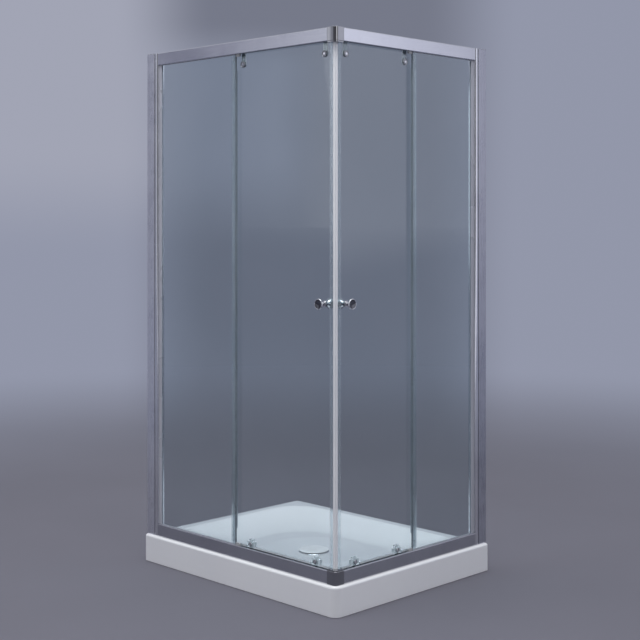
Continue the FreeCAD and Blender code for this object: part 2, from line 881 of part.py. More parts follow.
def make_fixed_gasket(side):
    """A soft channel round the three held edges, with a wide band beside the wall post."""
    start, end, low, high = fixed_glass_ends(side)
    outer = slot_outer + gasket_clearance
    inner = slot_inner - gasket_clearance
    foot = gasket_foot - gasket_clearance
    whole = block(start, end + foot, outer, inner, low - foot, high + foot)
    post_face = side.run - post_band
    window = block(
        start - overrun, post_face - gasket_lip, outer - overrun, inner + overrun,
        mouth_bottom + gasket_lip, mouth_top - gasket_lip)
    band = block(
        post_face - gasket_band, post_face, fixed_outer - gasket_band_thickness,
        fixed_inner + gasket_band_thickness, mouth_bottom + gasket_lip, mouth_top - gasket_lip)
    band = soften(
        band, gasket_band_round,
        lambda edge: upright(edge) and edge.Vertexes[0].X < post_face - gasket_lip)
    pane = block(start - overrun, end, fixed_outer, fixed_inner, low, high)
    return join([whole.cut(window), band]).cut(pane)


def edge_clip(edge, wing_sign, outer, inner, z0, z1):
    """A U strip over an upright glass edge. Its wings run from the edge by wing_sign."""
    wing_end = edge + wing_sign * seal_wing
    back = edge - wing_sign * seal_wall
    shell = block(
        min(back, wing_end), max(back, wing_end), outer - seal_wall, inner + seal_wall, z0, z1)
    room = block(
        min(edge, wing_end + wing_sign * overrun), max(edge, wing_end + wing_sign * overrun),
        outer, inner, z0, z1)
    return shell.cut(room)


def make_fixed_edge_seal(side):
    """A clip on the free edge of the fixed glass, with a fin that brushes the door."""
    z0 = mouth_bottom + seal_end_gap
    z1 = mouth_top - seal_end_gap
    clip = edge_clip(side.fixed_edge, 1, fixed_outer, fixed_inner, z0, z1)
    base = side.fixed_edge - seal_wall
    root = fixed_inner
    reach = door_outer - fin_clearance
    fin = prism(
        [Vec(base, root, 0), Vec(base + fin_thickness, root, 0),
         Vec(base + fin_thickness + fin_hook, reach, 0), Vec(base + fin_hook, reach, 0)],
        Vec(0, 0, mouth_top - mouth_bottom - fin_end_gap * 2))
    fin.translate(Vec(0, 0, mouth_bottom + fin_end_gap))
    return join([clip, fin])


def make_slot_blocks():
    """Small blocks that close the glazing slots beside each fixed glass."""
    solids = []
    for side in sides:
        end = side.fixed_edge - seal_wall - block_gap
        piece = block(
            end - block_length, end, slot_outer, slot_inner,
            slot_floor + block_slot_gap, rail_height + block_stand)
        start, top = end - block_length, rail_height + block_stand
        piece = soften(
            piece, block_stand / 2,
            lambda edge: all(
                abs(vertex.Z - top) < same_place and abs(vertex.X - start) < same_place
                for vertex in edge.Vertexes))
        solids.append(placed(side, at_bottom(piece)))
        solids.append(placed(side, at_top(piece)))
    return solids


# Doors

def door_tail(side):
    """The door's trailing glass edge at rest."""
    return side.fixed_edge + door_overlap


def door_travel(side):
    """How far a door slides before its rear wheel meets the bumper."""
    return side.run - post_band - gasket_band - post_stop_gap - door_tail(side)


def top_roller_places(side):
    return (door_lead + top_roller_lead, door_tail(side) - top_roller_trail)


def bottom_roller_places(side):
    return (door_lead + bottom_roller_inset, door_tail(side) - bottom_roller_inset)


def door_glass_start():
    """The leading glass edge, behind the magnetic strip's wall."""
    return door_inner + magnet_wall * 2


def make_door_glass(side):
    tail = door_tail(side)
    pane = block(door_glass_start(), tail, door_outer, door_inner, door_bottom, door_top)
    for s in top_roller_places(side):
        pane = pane.cut(rod(s, top_hole_height, door_outer, door_inner, door_hole_radius))
    for s in bottom_roller_places(side):
        pane = pane.cut(rod(s, low_hole_height, door_outer, door_inner, door_hole_radius))
    knob_s = door_lead + knob_inset
    return pane.cut(rod(knob_s, knob_height, door_outer, door_inner, door_hole_radius))


def make_magnet_seal(side):
    """A strip with a magnet nose cut at 45 degrees, clipped over the leading glass edge."""
    outer = door_outer - magnet_wall
    inner = door_inner + magnet_wall
    recess = magnet_joint_gap / 2 / math.cos(math.radians(45))
    end = door_glass_start() + magnet_wing
    nose = prism(
        [Vec(outer + recess, outer, door_bottom), Vec(end, outer, door_bottom),
         Vec(end, inner, door_bottom), Vec(inner + recess, inner, door_bottom)],
        Vec(0, 0, door_top - door_bottom))
    room = block(door_glass_start(), end + overrun, door_outer, door_inner, door_bottom, door_top)
    return nose.cut(room)


def make_back_seal(side):
    """A clip on the trailing glass edge, with a fin that brushes the fixed glass."""
    tail = door_tail(side)
    z0 = mouth_bottom + seal_end_gap
    z1 = mouth_top - seal_end_gap
    clip = edge_clip(tail, -1, door_outer, door_inner, z0, z1)
    base = tail + seal_wall
    reach = fixed_inner + fin_clearance
    fin = prism(
        [Vec(base, door_outer, z0), Vec(base - fin_thickness, door_outer, z0),
         Vec(base - fin_thickness - fin_hook, reach, z0), Vec(base - fin_hook, reach, z0)],
        Vec(0, 0, z1 - z0))
    return join([clip, fin])


def make_drip_seal(side):
    """A strip under the door's lower edge, cut away round the bottom rollers."""
    start = door_glass_start() + magnet_wing + seal_wall
    end = door_tail(side) - seal_wing - seal_wall
    low = door_bottom - drip_sole
    shell = block(
        start, end, door_outer - seal_wall, door_inner + seal_wall, low, door_bottom + drip_rise)
    room = block(
        start, end, door_outer, door_inner, door_bottom, door_bottom + drip_rise + overrun)
    fin = block(
        start, end, door_outer - seal_wall, door_outer, low - drip_fin_drop, low)
    strip = join([shell.cut(room), fin])
    for s in bottom_roller_places(side):
        notch = block(
            s - drip_notch_half, s + drip_notch_half, rail_inset, rail_inner,
            tray_height, door_bottom + drip_rise + overrun)
        strip = strip.cut(notch)
    return strip


def knob_solid(reach):
    """A trumpet-shaped knob that stands from v = 0 to v = reach."""
    foot = Vec(0, 0, 0)
    base_low = Vec(knob_base_radius, 0, 0)
    base_top = Vec(knob_base_radius, knob_base_height, 0)
    waist = Vec(knob_waist_radius, knob_base_height, 0)
    rim_low = Vec(knob_face_radius, reach - knob_chamfer - knob_rim_height, 0)
    rim_top = Vec(knob_face_radius, reach - knob_chamfer, 0)
    face_edge = Vec(knob_face_radius - knob_chamfer, reach, 0)
    face = Vec(0, reach, 0)
    run, drop = arc_middle(rim_low.y - waist.y, rim_low.x - waist.x)
    flare = Part.Arc(waist, Vec(waist.x + drop, waist.y + run, 0), rim_low)
    outline = [flare.toShape()]
    for start, end in (
            (rim_low, rim_top), (rim_top, face_edge), (face_edge, face), (face, foot),
            (foot, base_low), (base_low, base_top), (base_top, waist)):
        outline.append(Part.LineSegment(start, end).toShape())
    return turned(outline, Vec(0, 0, 0), Vec(0, 1, 0))


def make_outer_knob(side):
    """The outside knob, with the stud that joins the pair through the glass."""
    knob = knob_solid(outer_knob_length).mirror(Vec(0, 0, 0), Vec(0, 1, 0))
    stud = Part.makeCylinder(
        knob_stud_radius, glass_thickness + knob_stud_bite, Vec(0, 0, 0), Vec(0, 1, 0))
    knob = join([knob, stud])
    knob.translate(Vec(door_lead + knob_inset, door_outer, knob_height))
    return knob


def make_inner_knob(side):
    """The inside knob, screwed on to the outer knob's stud."""
    socket = Part.makeCylinder(
        knob_stud_radius + knob_stud_clearance, knob_stud_bite + knob_stud_clearance,
        Vec(0, 0, 0), Vec(0, 1, 0))
    knob = knob_solid(inner_knob_length).cut(socket)
    knob.translate(Vec(door_lead + knob_inset, door_inner, knob_height))
    return knob


# Rollers

def wheel_solid(s, z):
    """A grooved wheel with a recessed hub, turning about an axis across the glass."""
    near = bead_inset - wheel_width / 2
    far = bead_inset + wheel_width / 2
    groove = bead_radius + groove_clearance
    outline = [
        Vec(wheel_bore_radius, near, 0), Vec(wheel_radius, near, 0),
        Vec(wheel_radius, bead_inset - groove, 0), Vec(wheel_radius - groove, bead_inset - groove, 0),
        Vec(wheel_radius - groove, bead_inset + groove, 0), Vec(wheel_radius, bead_inset + groove, 0),
        Vec(wheel_radius, far, 0), Vec(wheel_recess_radius, far, 0),
        Vec(wheel_recess_radius, far - wheel_recess_depth, 0),
        Vec(wheel_bore_radius, far - wheel_recess_depth, 0)]
    wheel = turned(outline, Vec(0, 0, 0), Vec(0, 1, 0))
    wheel.translate(Vec(s, 0, z))
    return wheel


def slot_link(s, z0, radius0, z1, radius1, v0, v1):
    """A plate with two round ends, one above the other."""
    length = z1 - z0
    lean = math.asin((radius0 - radius1) / length)
    across = math.cos(lean)
    rise = math.sin(lean)

    def ends(z, radius):
        left = Vec(s - radius * across, v0, z + radius * rise)
        right = Vec(s + radius * across, v0, z + radius * rise)
        return left, right

    left0, right0 = ends(z0, radius0)
    left1, right1 = ends(z1, radius1)
    outline = Part.Wire([
        Part.Arc(left0, Vec(s, v0, z0 - radius0), right0).toShape(),
        Part.LineSegment(right0, right1).toShape(),
        Part.Arc(right1, Vec(s, v0, z1 + radius1), left1).toShape(),
        Part.LineSegment(left1, left0).toShape()])
    return Part.Face(outline).extrude(Vec(0, v1 - v0, 0))


def make_top_arms(side):
    """Plates bolted to the glass that reach up into the rail and carry the top wheels."""
    axis_z = frame_top - wheel_axis
    arms = []
    for s in top_roller_places(side):
        arm = slot_link(
            s, top_hole_height, arm_bolt_end_radius, axis_z, arm_axle_end_radius,
            door_inner, door_inner + arm_thickness)
        arm = arm.cut(rod(s, axis_z, door_inner, rail_inner, axle_radius + bolt_clearance))
        arm = arm.cut(rod(s, top_hole_height, door_inner, rail_inner, bolt_radius + bolt_clearance))
        arms.append(placed(side, arm))
    return arms


def axle_head_inset():
    """Inset of an axle head's underside, just clear of the wheel's hub."""
    return bead_inset + wheel_width / 2 - wheel_recess_depth + wheel_end_float


def make_top_axles(side):
    """Pins through the arms, with a head in the wheel's recess and a riveted end."""
    axis_z = frame_top - wheel_axis
    head = axle_head_inset()
    axles = []
    for s in top_roller_places(side):
        pin = rod(s, axis_z, door_inner, head, axle_radius)
        inner_head = rod(s, axis_z, head, head + axle_head_height, axle_head_radius)
        outer_head = rod(s, axis_z, door_inner - axle_head_height, door_inner, axle_head_radius)
        axles.append(placed(side, join([pin, inner_head, outer_head])))
    return axles


def cap_bolt(s, z, radius, end):
    """A low round cap outside the glass, a shank through it and a bolt that ends inside."""
    cap = rod(s, z, door_outer - cap_height, door_outer, radius)
    cap = chamfered_end(cap, cap_soft_edge, door_outer - cap_height)
    shank = rod(s, z, door_outer, door_inner, door_hole_radius - cap_shank_clearance)
    bolt = rod(s, z, door_inner, end, bolt_radius)
    return join([cap, shank, bolt])


def make_roller_bolts(side):
    """Cap bolts of the four rollers. The top two end in a domed nut."""
    bolts = []
    arm_face = door_inner + arm_thickness
    for s in top_roller_places(side):
        bolt = cap_bolt(s, top_hole_height, cap_radius, arm_face)
        nut = rod(s, top_hole_height, arm_face, arm_face + nut_cap_height, nut_cap_radius)
        bolts.append(placed(side, join([bolt, nut])))
    for s in bottom_roller_places(side):
        bolts.append(placed(side, cap_bolt(s, low_hole_height, lower_cap_radius, door_inner + housing_blind)))
    return bolts


def make_housings(side):
    """Bottom roller housings on the glass, each with a way down for its sprung slide."""
    low = mouth_bottom + housing_lift
    high = low + housing_height
    solids = []
    for s in bottom_roller_places(side):
        body = block(
            s - housing_width / 2, s + housing_width / 2, door_inner, door_inner + housing_depth,
            low, high)
        body = soften(
            body, housing_round,
            lambda edge: upright(edge) and edge.Vertexes[0].Y > door_inner + same_place)
        way = block(
            s - slide_half_width - slide_clearance, s + slide_half_width + slide_clearance,
            door_inner, door_inner + slide_glass_gap + slide_thickness + slide_clearance, low, high)
        hole = rod(
            s, low_hole_height, door_inner, door_inner + housing_blind + bolt_clearance,
            bolt_radius + bolt_clearance)
        solids.append(placed(side, body.cut(way).cut(hole)))
    return solids


def make_release_slide(side, s):
    """The sprung slide: a button on top, a slotted plate, and a foot with the wheel's pin."""
    outer = door_inner + slide_glass_gap
    inner = outer + slide_thickness
    axis_z = tray_height + wheel_axis
    housing_top = mouth_bottom + housing_lift + housing_height
    button_low = housing_top + release_travel + release_gap
    plate = block(
        s - slide_half_width, s + slide_half_width, outer, inner, axis_z, button_low)
    foot = rod(s, axis_z, outer, inner, slide_foot_radius)
    button = block(
        s - button_width / 2, s + button_width / 2, outer, outer + button_depth,
        button_low, button_low + button_height)
    top = button_low + button_height
    rim = [edge for edge in button.Edges if all(abs(vertex.Z - top) < same_place for vertex in edge.Vertexes)]
    button = button.makeChamfer(button_round, rim)
    head = axle_head_inset()
    pin = rod(s, axis_z, outer, head, axle_radius)
    pin_head = rod(s, axis_z, head, head + axle_head_height, axle_head_radius)
    slide = join([plate, foot, button, pin, pin_head])
    slot_radius = bolt_radius + slide_clearance
    slot_top = low_hole_height + release_travel
    window = slot_link(s, low_hole_height, slot_radius, slot_top, slot_radius, outer, inner)
    return slide.cut(window)


def make_stops():
    """Rubber bumpers in the top rails, one at each end of a door's travel."""
    solids = []
    for side in sides:
        front, rear = top_roller_places(side)
        closed_face = front - wheel_radius - stop_gap
        open_face = rear + door_travel(side) + wheel_radius + stop_gap
        outer = bead_inset - wheel_width / 2
        for s0 in (closed_face - stop_length, open_face):
            bumper = block(
                s0, s0 + stop_length, outer, chamber_inner,
                stop_back_gap, bead_height - bead_radius)
            solids.append(placed(side, at_top(bumper)))
    return solids


# Write the nodes

def save_tray():
    save("tray", make_tray())
    save("tray_base_board", make_base_board())
    save("tray_feet", make_feet())
    save("tray_foot_studs", make_studs())
    save("drain_flange", make_drain_flange())
    save("drain_cover", make_drain_cover())
    save("drain_trap", make_drain_trap())


def save_frame():
    for side in sides:
        rail = make_rail(side)
        save("bottom_rail_" + side.name, placed(side, at_bottom(drained(side, rail))))
        save("top_rail_" + side.name, placed(side, at_top(rail)))
        save("wall_channel_" + side.name, placed(side, make_wall_channel(side)))
        save("wall_post_" + side.name, placed(side, make_wall_post(side)))
        save("fixed_glass_" + side.name, placed(side, make_fixed_glass(side)))
        save("fixed_gasket_" + side.name, placed(side, make_fixed_gasket(side)))
        save("fixed_edge_seal_" + side.name, placed(side, make_fixed_edge_seal(side)))
    save("bottom_corner_connector", placed(short_side, at_bottom(make_connector(0))))
    save("top_corner_connector", placed(short_side, at_top(make_connector(-connector_proud))))
    save("channel_caps", [placed(side, make_channel_cap(side)) for side in sides])
    save("rail_joint_blocks", make_joint_blocks())
    save("frame_screws", make_frame_screws())
    save("slot_end_blocks", make_slot_blocks())
    save("door_stops", make_stops())


def save_door(side):
    name = side.name + "_door_"
    save(name + "glass", placed(side, make_door_glass(side)))
    save(name + "magnet_seal", placed(side, make_magnet_seal(side)))
    save(name + "back_seal", placed(side, make_back_seal(side)))
    save(name + "drip_seal", placed(side, make_drip_seal(side)))
    save(name + "outer_knob", placed(side, make_outer_knob(side)))
    save(name + "inner_knob", placed(side, make_inner_knob(side)))
    save(name + "top_arms", make_top_arms(side))
    save(name + "top_axles", make_top_axles(side))
    save(name + "roller_bolts", make_roller_bolts(side))
    save(name + "roller_housings", make_housings(side))
    for end, s in zip(("front", "rear"), top_roller_places(side)):
        save(name + "top_wheel_" + end, placed(side, wheel_solid(s, frame_top - wheel_axis)))
    for end, s in zip(("front", "rear"), bottom_roller_places(side)):
        save(name + "bottom_wheel_" + end, placed(side, wheel_solid(s, tray_height + wheel_axis)))
        save(name + "release_" + end, placed(side, make_release_slide(side, s)))


os.makedirs("parts", exist_ok=True)
save_tray()
save_frame()
for door_side in sides:
    save_door(door_side)
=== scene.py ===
import math
import bmesh
import bpy
from mathutils import Matrix, Vector


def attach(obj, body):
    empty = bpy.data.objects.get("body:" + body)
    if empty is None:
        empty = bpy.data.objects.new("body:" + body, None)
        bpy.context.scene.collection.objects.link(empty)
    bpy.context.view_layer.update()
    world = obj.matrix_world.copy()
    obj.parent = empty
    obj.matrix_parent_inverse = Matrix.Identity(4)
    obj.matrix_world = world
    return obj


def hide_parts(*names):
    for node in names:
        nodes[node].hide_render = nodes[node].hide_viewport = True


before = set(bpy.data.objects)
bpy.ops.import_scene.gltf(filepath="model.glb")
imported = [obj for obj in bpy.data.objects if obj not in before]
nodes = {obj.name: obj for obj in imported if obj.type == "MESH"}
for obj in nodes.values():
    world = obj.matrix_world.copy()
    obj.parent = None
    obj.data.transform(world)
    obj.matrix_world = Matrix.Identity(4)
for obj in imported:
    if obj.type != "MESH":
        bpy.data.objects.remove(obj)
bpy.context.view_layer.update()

# Corner-entry shower enclosure on a low tray. The pieces of a glass side are shaped in the side's own
# coordinates, in millimetres: s runs along the side from the glass corner, v runs inwards from the
# tray's outer face, and z is up. They are then stood in their place in the enclosure.

MM = 0.001
UP, INWARDS, ALONG = Vector((0, 0, 1)), Vector((0, 1, 0)), Vector((1, 0, 0))
SIDES, ENDS = ("long", "short"), ("bottom", "top")
STAND = {
    "long": Matrix(((-1, 0, 0, 0.5), (0, 1, 0, -0.4), (0, 0, 1, 0), (0, 0, 0, 1))),
    "short": Matrix(((0, -1, 0, 0.5), (1, 0, 0, -0.4), (0, 0, 1, 0), (0, 0, 0, 1))),
}
# Heights of the frame, of the panes and of the seals on upright edges
FRAME_LOW, FRAME_HIGH = 100, 1899
FIXED_LOW, FIXED_HIGH = 125, 1874
DOOR_LOW, DOOR_HIGH = 138, 1861
SEAL_LOW, SEAL_HIGH = 150, 1849
# Heights of the rollers' bolts and axles, the knobs, and the screws through each channel into post and wall
HANGER_BOLT, HANGER_AXLE, LOW_BOLT, LOW_AXLE = 1819, 1877, 153, 122
KNOB_HEIGHT = 1003
POST_SCREWS, WALL_SCREWS = (299.5, 999.5, 1699.5), (249.5, 749.5, 1249.5, 1749.5)
# Outer and inner face of each pane
FIXED_FACES, DOOR_FACES = (20.5, 25.5), (33.5, 38.5)
# Places along each side: its wall, the wall post's face, the edges of the panes, the knobs and the rollers
RUN = {"long": 1000, "short": 800}
POST_FACE = {"long": 937, "short": 737}
FIXED_EDGE, FIXED_TO_WALL = {"long": 508, "short": 401}, 51
DOOR_LEAD, DOOR_TAIL = 41.7, {"long": 535, "short": 428}
KNOB_PLACE = 84
ROLLERS = {
    "top": {"long": (83, 483), "short": (83, 376)},
    "bottom": {"long": (127, 444), "short": (127, 337)},
}


def at(s, v, z):
    """A point in metres from millimetres."""
    return Vector((s, v, z)) * MM


# ---- shaping by hand

def put_down():
    """Put down all pieces."""
    bpy.ops.object.select_all(action="DESELECT")


def alone(piece):
    """Take one piece in hand and put all others down."""
    put_down()
    piece.select_set(True)
    bpy.context.view_layer.objects.active = piece


def start_work(piece, kind="VERT"):
    alone(piece)
    bpy.ops.object.mode_set(mode="EDIT")
    bpy.ops.mesh.select_mode(type=kind)


def stop_work():
    bpy.ops.object.mode_set(mode="OBJECT")


def pick_all():
    bpy.ops.mesh.select_all(action="SELECT")


def pick_none():
    bpy.ops.mesh.select_all(action="DESELECT")


def choose(kind, wanted):
    """While at work on a mesh, pick only the points, edges or faces that pass a test."""
    mesh = bpy.context.edit_object.data
    bpy.ops.mesh.select_mode(type=kind)
    pick_none()
    shape = bmesh.from_edit_mesh(mesh)
    items = {"VERT": shape.verts, "EDGE": shape.edges, "FACE": shape.faces}[kind]
    for item in [item for item in items if wanted(item)]:
        item.select_set(True)
    shape.select_flush_mode()
    bmesh.update_edit_mesh(mesh)


def facing_out():
    pick_all()
    bpy.ops.mesh.normals_make_consistent(inside=False)


def shifted_on(reach):
    """Draw the faces in hand on, along a straight way."""
    bpy.ops.mesh.extrude_region_move(TRANSFORM_OT_translate={"value": reach})


def rounded_off(kind, radius, steps, **settings):
    """Round the points or edges in hand."""
    bpy.ops.mesh.bevel(offset=radius * MM, segments=steps, affect=kind, offset_type="OFFSET", **settings)


def frozen(piece):
    """Leave a piece's place in its mesh, with its own axes at the origin."""
    alone(piece)
    bpy.ops.object.transform_apply(location=True, rotation=True, scale=True)
    return piece


def put_away(*models):
    for model in models:
        bpy.data.objects.remove(model)


def named(name):
    """The piece just made, with its name."""
    piece = bpy.context.active_object
    piece.name = name
    return piece


def first_point(name, place):
    """A plane drawn together into one point, where an outline starts."""
    put_down()
    bpy.ops.mesh.primitive_plane_add(size=0.01, location=place)
    piece = named(name)
    start_work(piece)
    pick_all()
    bpy.ops.mesh.merge(type="CENTER")
    return piece


def follow(points):
    """Draw the outline on from the point in hand, corner by corner."""
    for here, there in zip(points, points[1:]):
        bpy.ops.mesh.extrude_vertices_move(TRANSFORM_OT_translate={"value": there - here})


def traced(name, points, rounds=(), steps=4):
    """A flat face inside an outline. rounds lists corners to round, each with its radius."""
    piece = first_point(name, points[0])
    follow(points)
    pick_all()
    bpy.ops.mesh.edge_face_add()
    origin = piece.location
    for corner, radius in rounds:
        choose("VERT", lambda point: (point.co + origin - corner).length < 0.00001)
        rounded_off("VERTICES", radius, steps, clamp_overlap=False)
    stop_work()
    return piece


def pushed(piece, reach):
    """Push a flat face along into a solid."""
    start_work(piece, "FACE")
    pick_all()
    shifted_on(reach)
    facing_out()
    stop_work()
    return frozen(piece)


def bar(name, outline, place, start, end, rounds):
    """A bar from start to end. place gives the point of two outline numbers and a number along the bar."""
    corners = [place(a, b, start) for a, b in outline]
    face = traced(name, corners, [(place(a, b, start), radius) for a, b, radius in rounds])
    return pushed(face, place(0, 0, end - start))


def plan_bar(name, outline, z0, z1, rounds=()):
    """An upright bar from an outline of s and v."""
    return bar(name, outline, at, z0, z1, rounds)


def section_bar(name, outline, s0, s1, rounds=()):
    """A bar along the side from an outline of v and z."""
    return bar(name, outline, lambda v, z, s: at(s, v, z), s0, s1, rounds)


def plate(name, outline, v0, v1, rounds=()):
    """A plate across the glass from an outline of s and z."""
    return bar(name, outline, lambda s, z, v: at(s, v, z), v0, v1, rounds)


def blank(name, s0, s1, v0, v1, z0, z1):
    """A sawn block, to be worked further."""
    put_down()
    bpy.ops.mesh.primitive_cube_add(
        size=1, location=at((s0 + s1) / 2, (v0 + v1) / 2, (z0 + z1) / 2), scale=at(s1 - s0, v1 - v0, z1 - z0))
    return frozen(named(name))


def spun(name, outline, centre, axis, steps=48):
    """A round piece, spun from a half outline of radius and height along its axis."""
    outwards = UP if axis.z == 0 else ALONG
    points = [centre + outwards * radius * MM + axis * height * MM for radius, height in outline]
    piece = first_point(name, points[0])
    follow(points)
    pick_all()
    bpy.ops.mesh.spin(steps=steps, angle=math.tau, center=centre, axis=axis)
    pick_all()
    bpy.ops.mesh.remove_doubles(threshold=0.000002)
    facing_out()
    stop_work()
    return frozen(piece)


def panelled(piece, way, wall, depth):
    """Draw a panel inside the faces that look one way, and push it back into the piece."""
    start_work(piece, "FACE")
    choose("FACE", lambda face: face.normal.dot(way) > 0.95)
    bpy.ops.mesh.inset(thickness=wall * MM)
    shifted_on(way * -depth * MM)
    stop_work()
    return piece


def rod(radius, start, end):
    """Half outline of a plain rod."""
    return ((0, start), (radius, start), (radius, end), (0, end))


def duplicate(piece, name, shift=None):
    """A copy with its own mesh, moved along."""
    alone(piece)
    bpy.ops.object.duplicate(linked=False)
    twin = named(name)
    if shift is not None:
        bpy.ops.transform.translate(value=shift)
        frozen(twin)
    return twin


def joined(name, pieces):
    """Several worked parts taken together as one piece."""
    alone(pieces[0])
    for piece in pieces[1:]:
        piece.select_set(True)
    if len(pieces) > 1:
        bpy.ops.object.join()
    return named(name)


def fitted(piece, tool, operation="DIFFERENCE"):
    """Cut a tool's shape out of a piece, or weld it on."""
    modifier = piece.modifiers.new("cut", "BOOLEAN")
    modifier.operation = operation
    modifier.solver = "EXACT"
    modifier.object = tool
    alone(piece)
    bpy.ops.object.modifier_apply(modifier=modifier.name)
    put_away(tool)
    return piece


def bored(piece, holes, v0, v1):
    """Bore round holes across the glass: s, z and radius of each."""
    drills = [spun("drill", rod(radius, v0, v1), at(s, 0, z), INWARDS, 32) for s, z, radius in holes]
    return fitted(piece, joined("drills", drills))


def bow(start, middle, end, steps):
    """Points on the arc from start through middle to end, without start."""
    (ax, ay), (bx, by), (cx, cy) = start, middle, end
    d = 2 * (ax * (by - cy) + bx * (cy - ay) + cx * (ay - by))
    a2, b2, c2 = ax * ax + ay * ay, bx * bx + by * by, cx * cx + cy * cy
    ox = (a2 * (by - cy) + b2 * (cy - ay) + c2 * (ay - by)) / d
    oy = (a2 * (cx - bx) + b2 * (ax - cx) + c2 * (bx - ax)) / d
    radius = math.hypot(ax - ox, ay - oy)
    first = math.atan2(ay - oy, ax - ox)
    half = math.remainder(math.atan2(by - oy, bx - ox) - first, math.tau)
    rest = math.remainder(math.atan2(cy - oy, cx - ox) - first - half, math.tau)
    turns = [first + (half + rest) * step / steps for step in range(1, steps + 1)]
    return [(ox + radius * math.cos(turn), oy + radius * math.sin(turn)) for turn in turns]


def stood(piece, side):
    """Stand a piece in its place in the enclosure."""
    piece.matrix_world = STAND[side] @ piece.matrix_world
    frozen(piece)
    start_work(piece, "FACE")
    facing_out()
    stop_work()
    return piece


def finish(piece, materials, replaced, ease=0.4, steps=2, angle=35, body="enclosure"):
    """Ease the sharp edges, smooth the round faces and give the piece its finish and its body."""
    alone(piece)
    if ease:
        modifier = piece.modifiers.new("eased edges", "BEVEL")
        modifier.width = ease * MM
        modifier.segments = steps
        modifier.limit_method = "ANGLE"
        modifier.angle_limit = math.radians(angle)
        modifier.use_clamp_overlap = True
        bpy.ops.object.modifier_apply(modifier=modifier.name)
    bpy.ops.object.shade_smooth_by_angle(angle=math.radians(angle + 5))
    weighted = piece.modifiers.new("even shading", "WEIGHTED_NORMAL")
    weighted.keep_sharp = True
    bpy.ops.object.modifier_apply(modifier=weighted.name)
    coated(piece, *materials)
    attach(piece, body)
    if replaced:
        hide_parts(*replaced)
    return piece


def coated(piece, *materials):
    piece.data.materials.clear()
    for material in materials:
        piece.data.materials.append(material)


def second_finish(piece, wanted):
    """Give the faces that pass a test the piece's second finish."""
    start_work(piece, "FACE")
    choose("FACE", wanted)
    piece.active_material_index = 1
    bpy.ops.object.material_slot_assign()
    stop_work()


def second_finish_where(piece, side, wanted):
    """The same, with a test of the face's middle: its s, v and z in millimetres."""
    def passes(face):
        place = face.calc_center_median()
        s, v = (0.5 - place.x) / MM, (place.y + 0.4) / MM
        return wanted(*((s, v) if side == "long" else (v, s)), place.z / MM)
    second_finish(piece, passes)


# ---- finishes

def feed(tree, socket, value):
    """Link a socket from another one, or give it a value. A colour is given without its alpha."""
    if isinstance(value, bpy.types.NodeSocket):
        tree.links.new(value, socket)
    else:
        socket.default_value = (*value, 1.0) if socket.type == "RGBA" else value


def add_node(tree, kind, inputs=None, **settings):
    """A node with its settings, and the values or sockets that feed its inputs."""
    node = tree.nodes.new("ShaderNode" + kind)
    for label, value in settings.items():
        setattr(node, label, value)
    for label, value in (inputs or {}).items():
        feed(tree, node.inputs[label], value)
    return node


def ramp(tree, value, start, end, low=0.0, high=1.0, shape="LINEAR"):
    """A number that goes from low to high while another goes from start to end."""
    inputs = {"Value": value, "From Min": start, "From Max": end, "To Min": low, "To Max": high}
    return add_node(tree, "MapRange", inputs, interpolation_type=shape).outputs["Result"]


def blend(tree, share, first, second):
    """A colour between two colours."""
    return add_node(tree, "Mix", {"Factor": share, 6: first, 7: second}, data_type="RGBA").outputs[2]


def worked_out(tree, operation, *numbers, **settings):
    """The result of one step of arithmetic."""
    return add_node(tree, "Math", dict(enumerate(numbers)), operation=operation, **settings).outputs["Value"]


def vector_step(tree, operation, *vectors, result="Vector"):
    """The result of one step of arithmetic on vectors."""
    return add_node(tree, "VectorMath", dict(enumerate(vectors)), operation=operation).outputs[result]


def noise(tree, place, **inputs):
    return add_node(tree, "TexNoise", {"Vector": place, **inputs}).outputs["Fac"]


def group_of(name, inputs, outputs):
    """An empty shared effect: its tree, the sockets that come into it and those that go out."""
    tree = bpy.data.node_groups.new(name, "ShaderNodeTree")
    for label, kind, value in inputs:
        socket = tree.interface.new_socket(name=label, in_out="INPUT", socket_type="NodeSocket" + kind)
        if value is not None:
            socket.default_value = value
    for label, kind in outputs:
        tree.interface.new_socket(name=label, in_out="OUTPUT", socket_type="NodeSocket" + kind)
    return tree, tree.nodes.new("NodeGroupInput").outputs, tree.nodes.new("NodeGroupOutput").inputs


def drawn_lines_effect():
    """Fine lines that a die or a brush leaves along a metal bar."""
    tree, given, result = group_of(
        "drawn lines",
        [("Place", "Vector", None), ("Stretch", "Vector", (1.0, 1.0, 1.0)), ("Fineness", "Float", 900.0)],
        [("Lines", "Float"), ("Drift", "Float")])
    stretched = vector_step(tree, "MULTIPLY", given["Place"], given["Stretch"])
    feed(tree, result["Lines"], noise(tree, stretched, Scale=given["Fineness"], Detail=3.0, Roughness=0.6))
    feed(tree, result["Drift"], noise(tree, given["Place"], Scale=9.0, Detail=2.0))
    return tree


def rubbed_edges_effect():
    """Outer edges, where hands and cloths rub a finish brighter."""
    tree, given, result = group_of(
        "rubbed edges", [("Amount", "Float", 0.5), ("Place", "Vector", None)], [("Rub", "Float")])
    sharp = ramp(tree, add_node(tree, "NewGeometry").outputs["Pointiness"], 0.51, 0.62)
    patches = worked_out(tree, "MULTIPLY", sharp, noise(tree, given["Place"], Scale=45.0, Detail=4.0))
    feed(tree, result["Rub"], worked_out(tree, "MULTIPLY", patches, given["Amount"], use_clamp=True))
    return tree


def mould_grain_effect():
    """The fine grain and slow drift in tone of moulded plastic and acrylic."""
    tree, given, result = group_of(
        "mould grain", [("Place", "Vector", None), ("Grain", "Float", 1400.0), ("Clouds", "Float", 6.0)],
        [("Grain", "Float"), ("Clouds", "Float")])
    for label, detail in (("Grain", 2.0), ("Clouds", 4.0)):
        feed(tree, result[label], noise(tree, given["Place"], Scale=given[label], Detail=detail))
    return tree


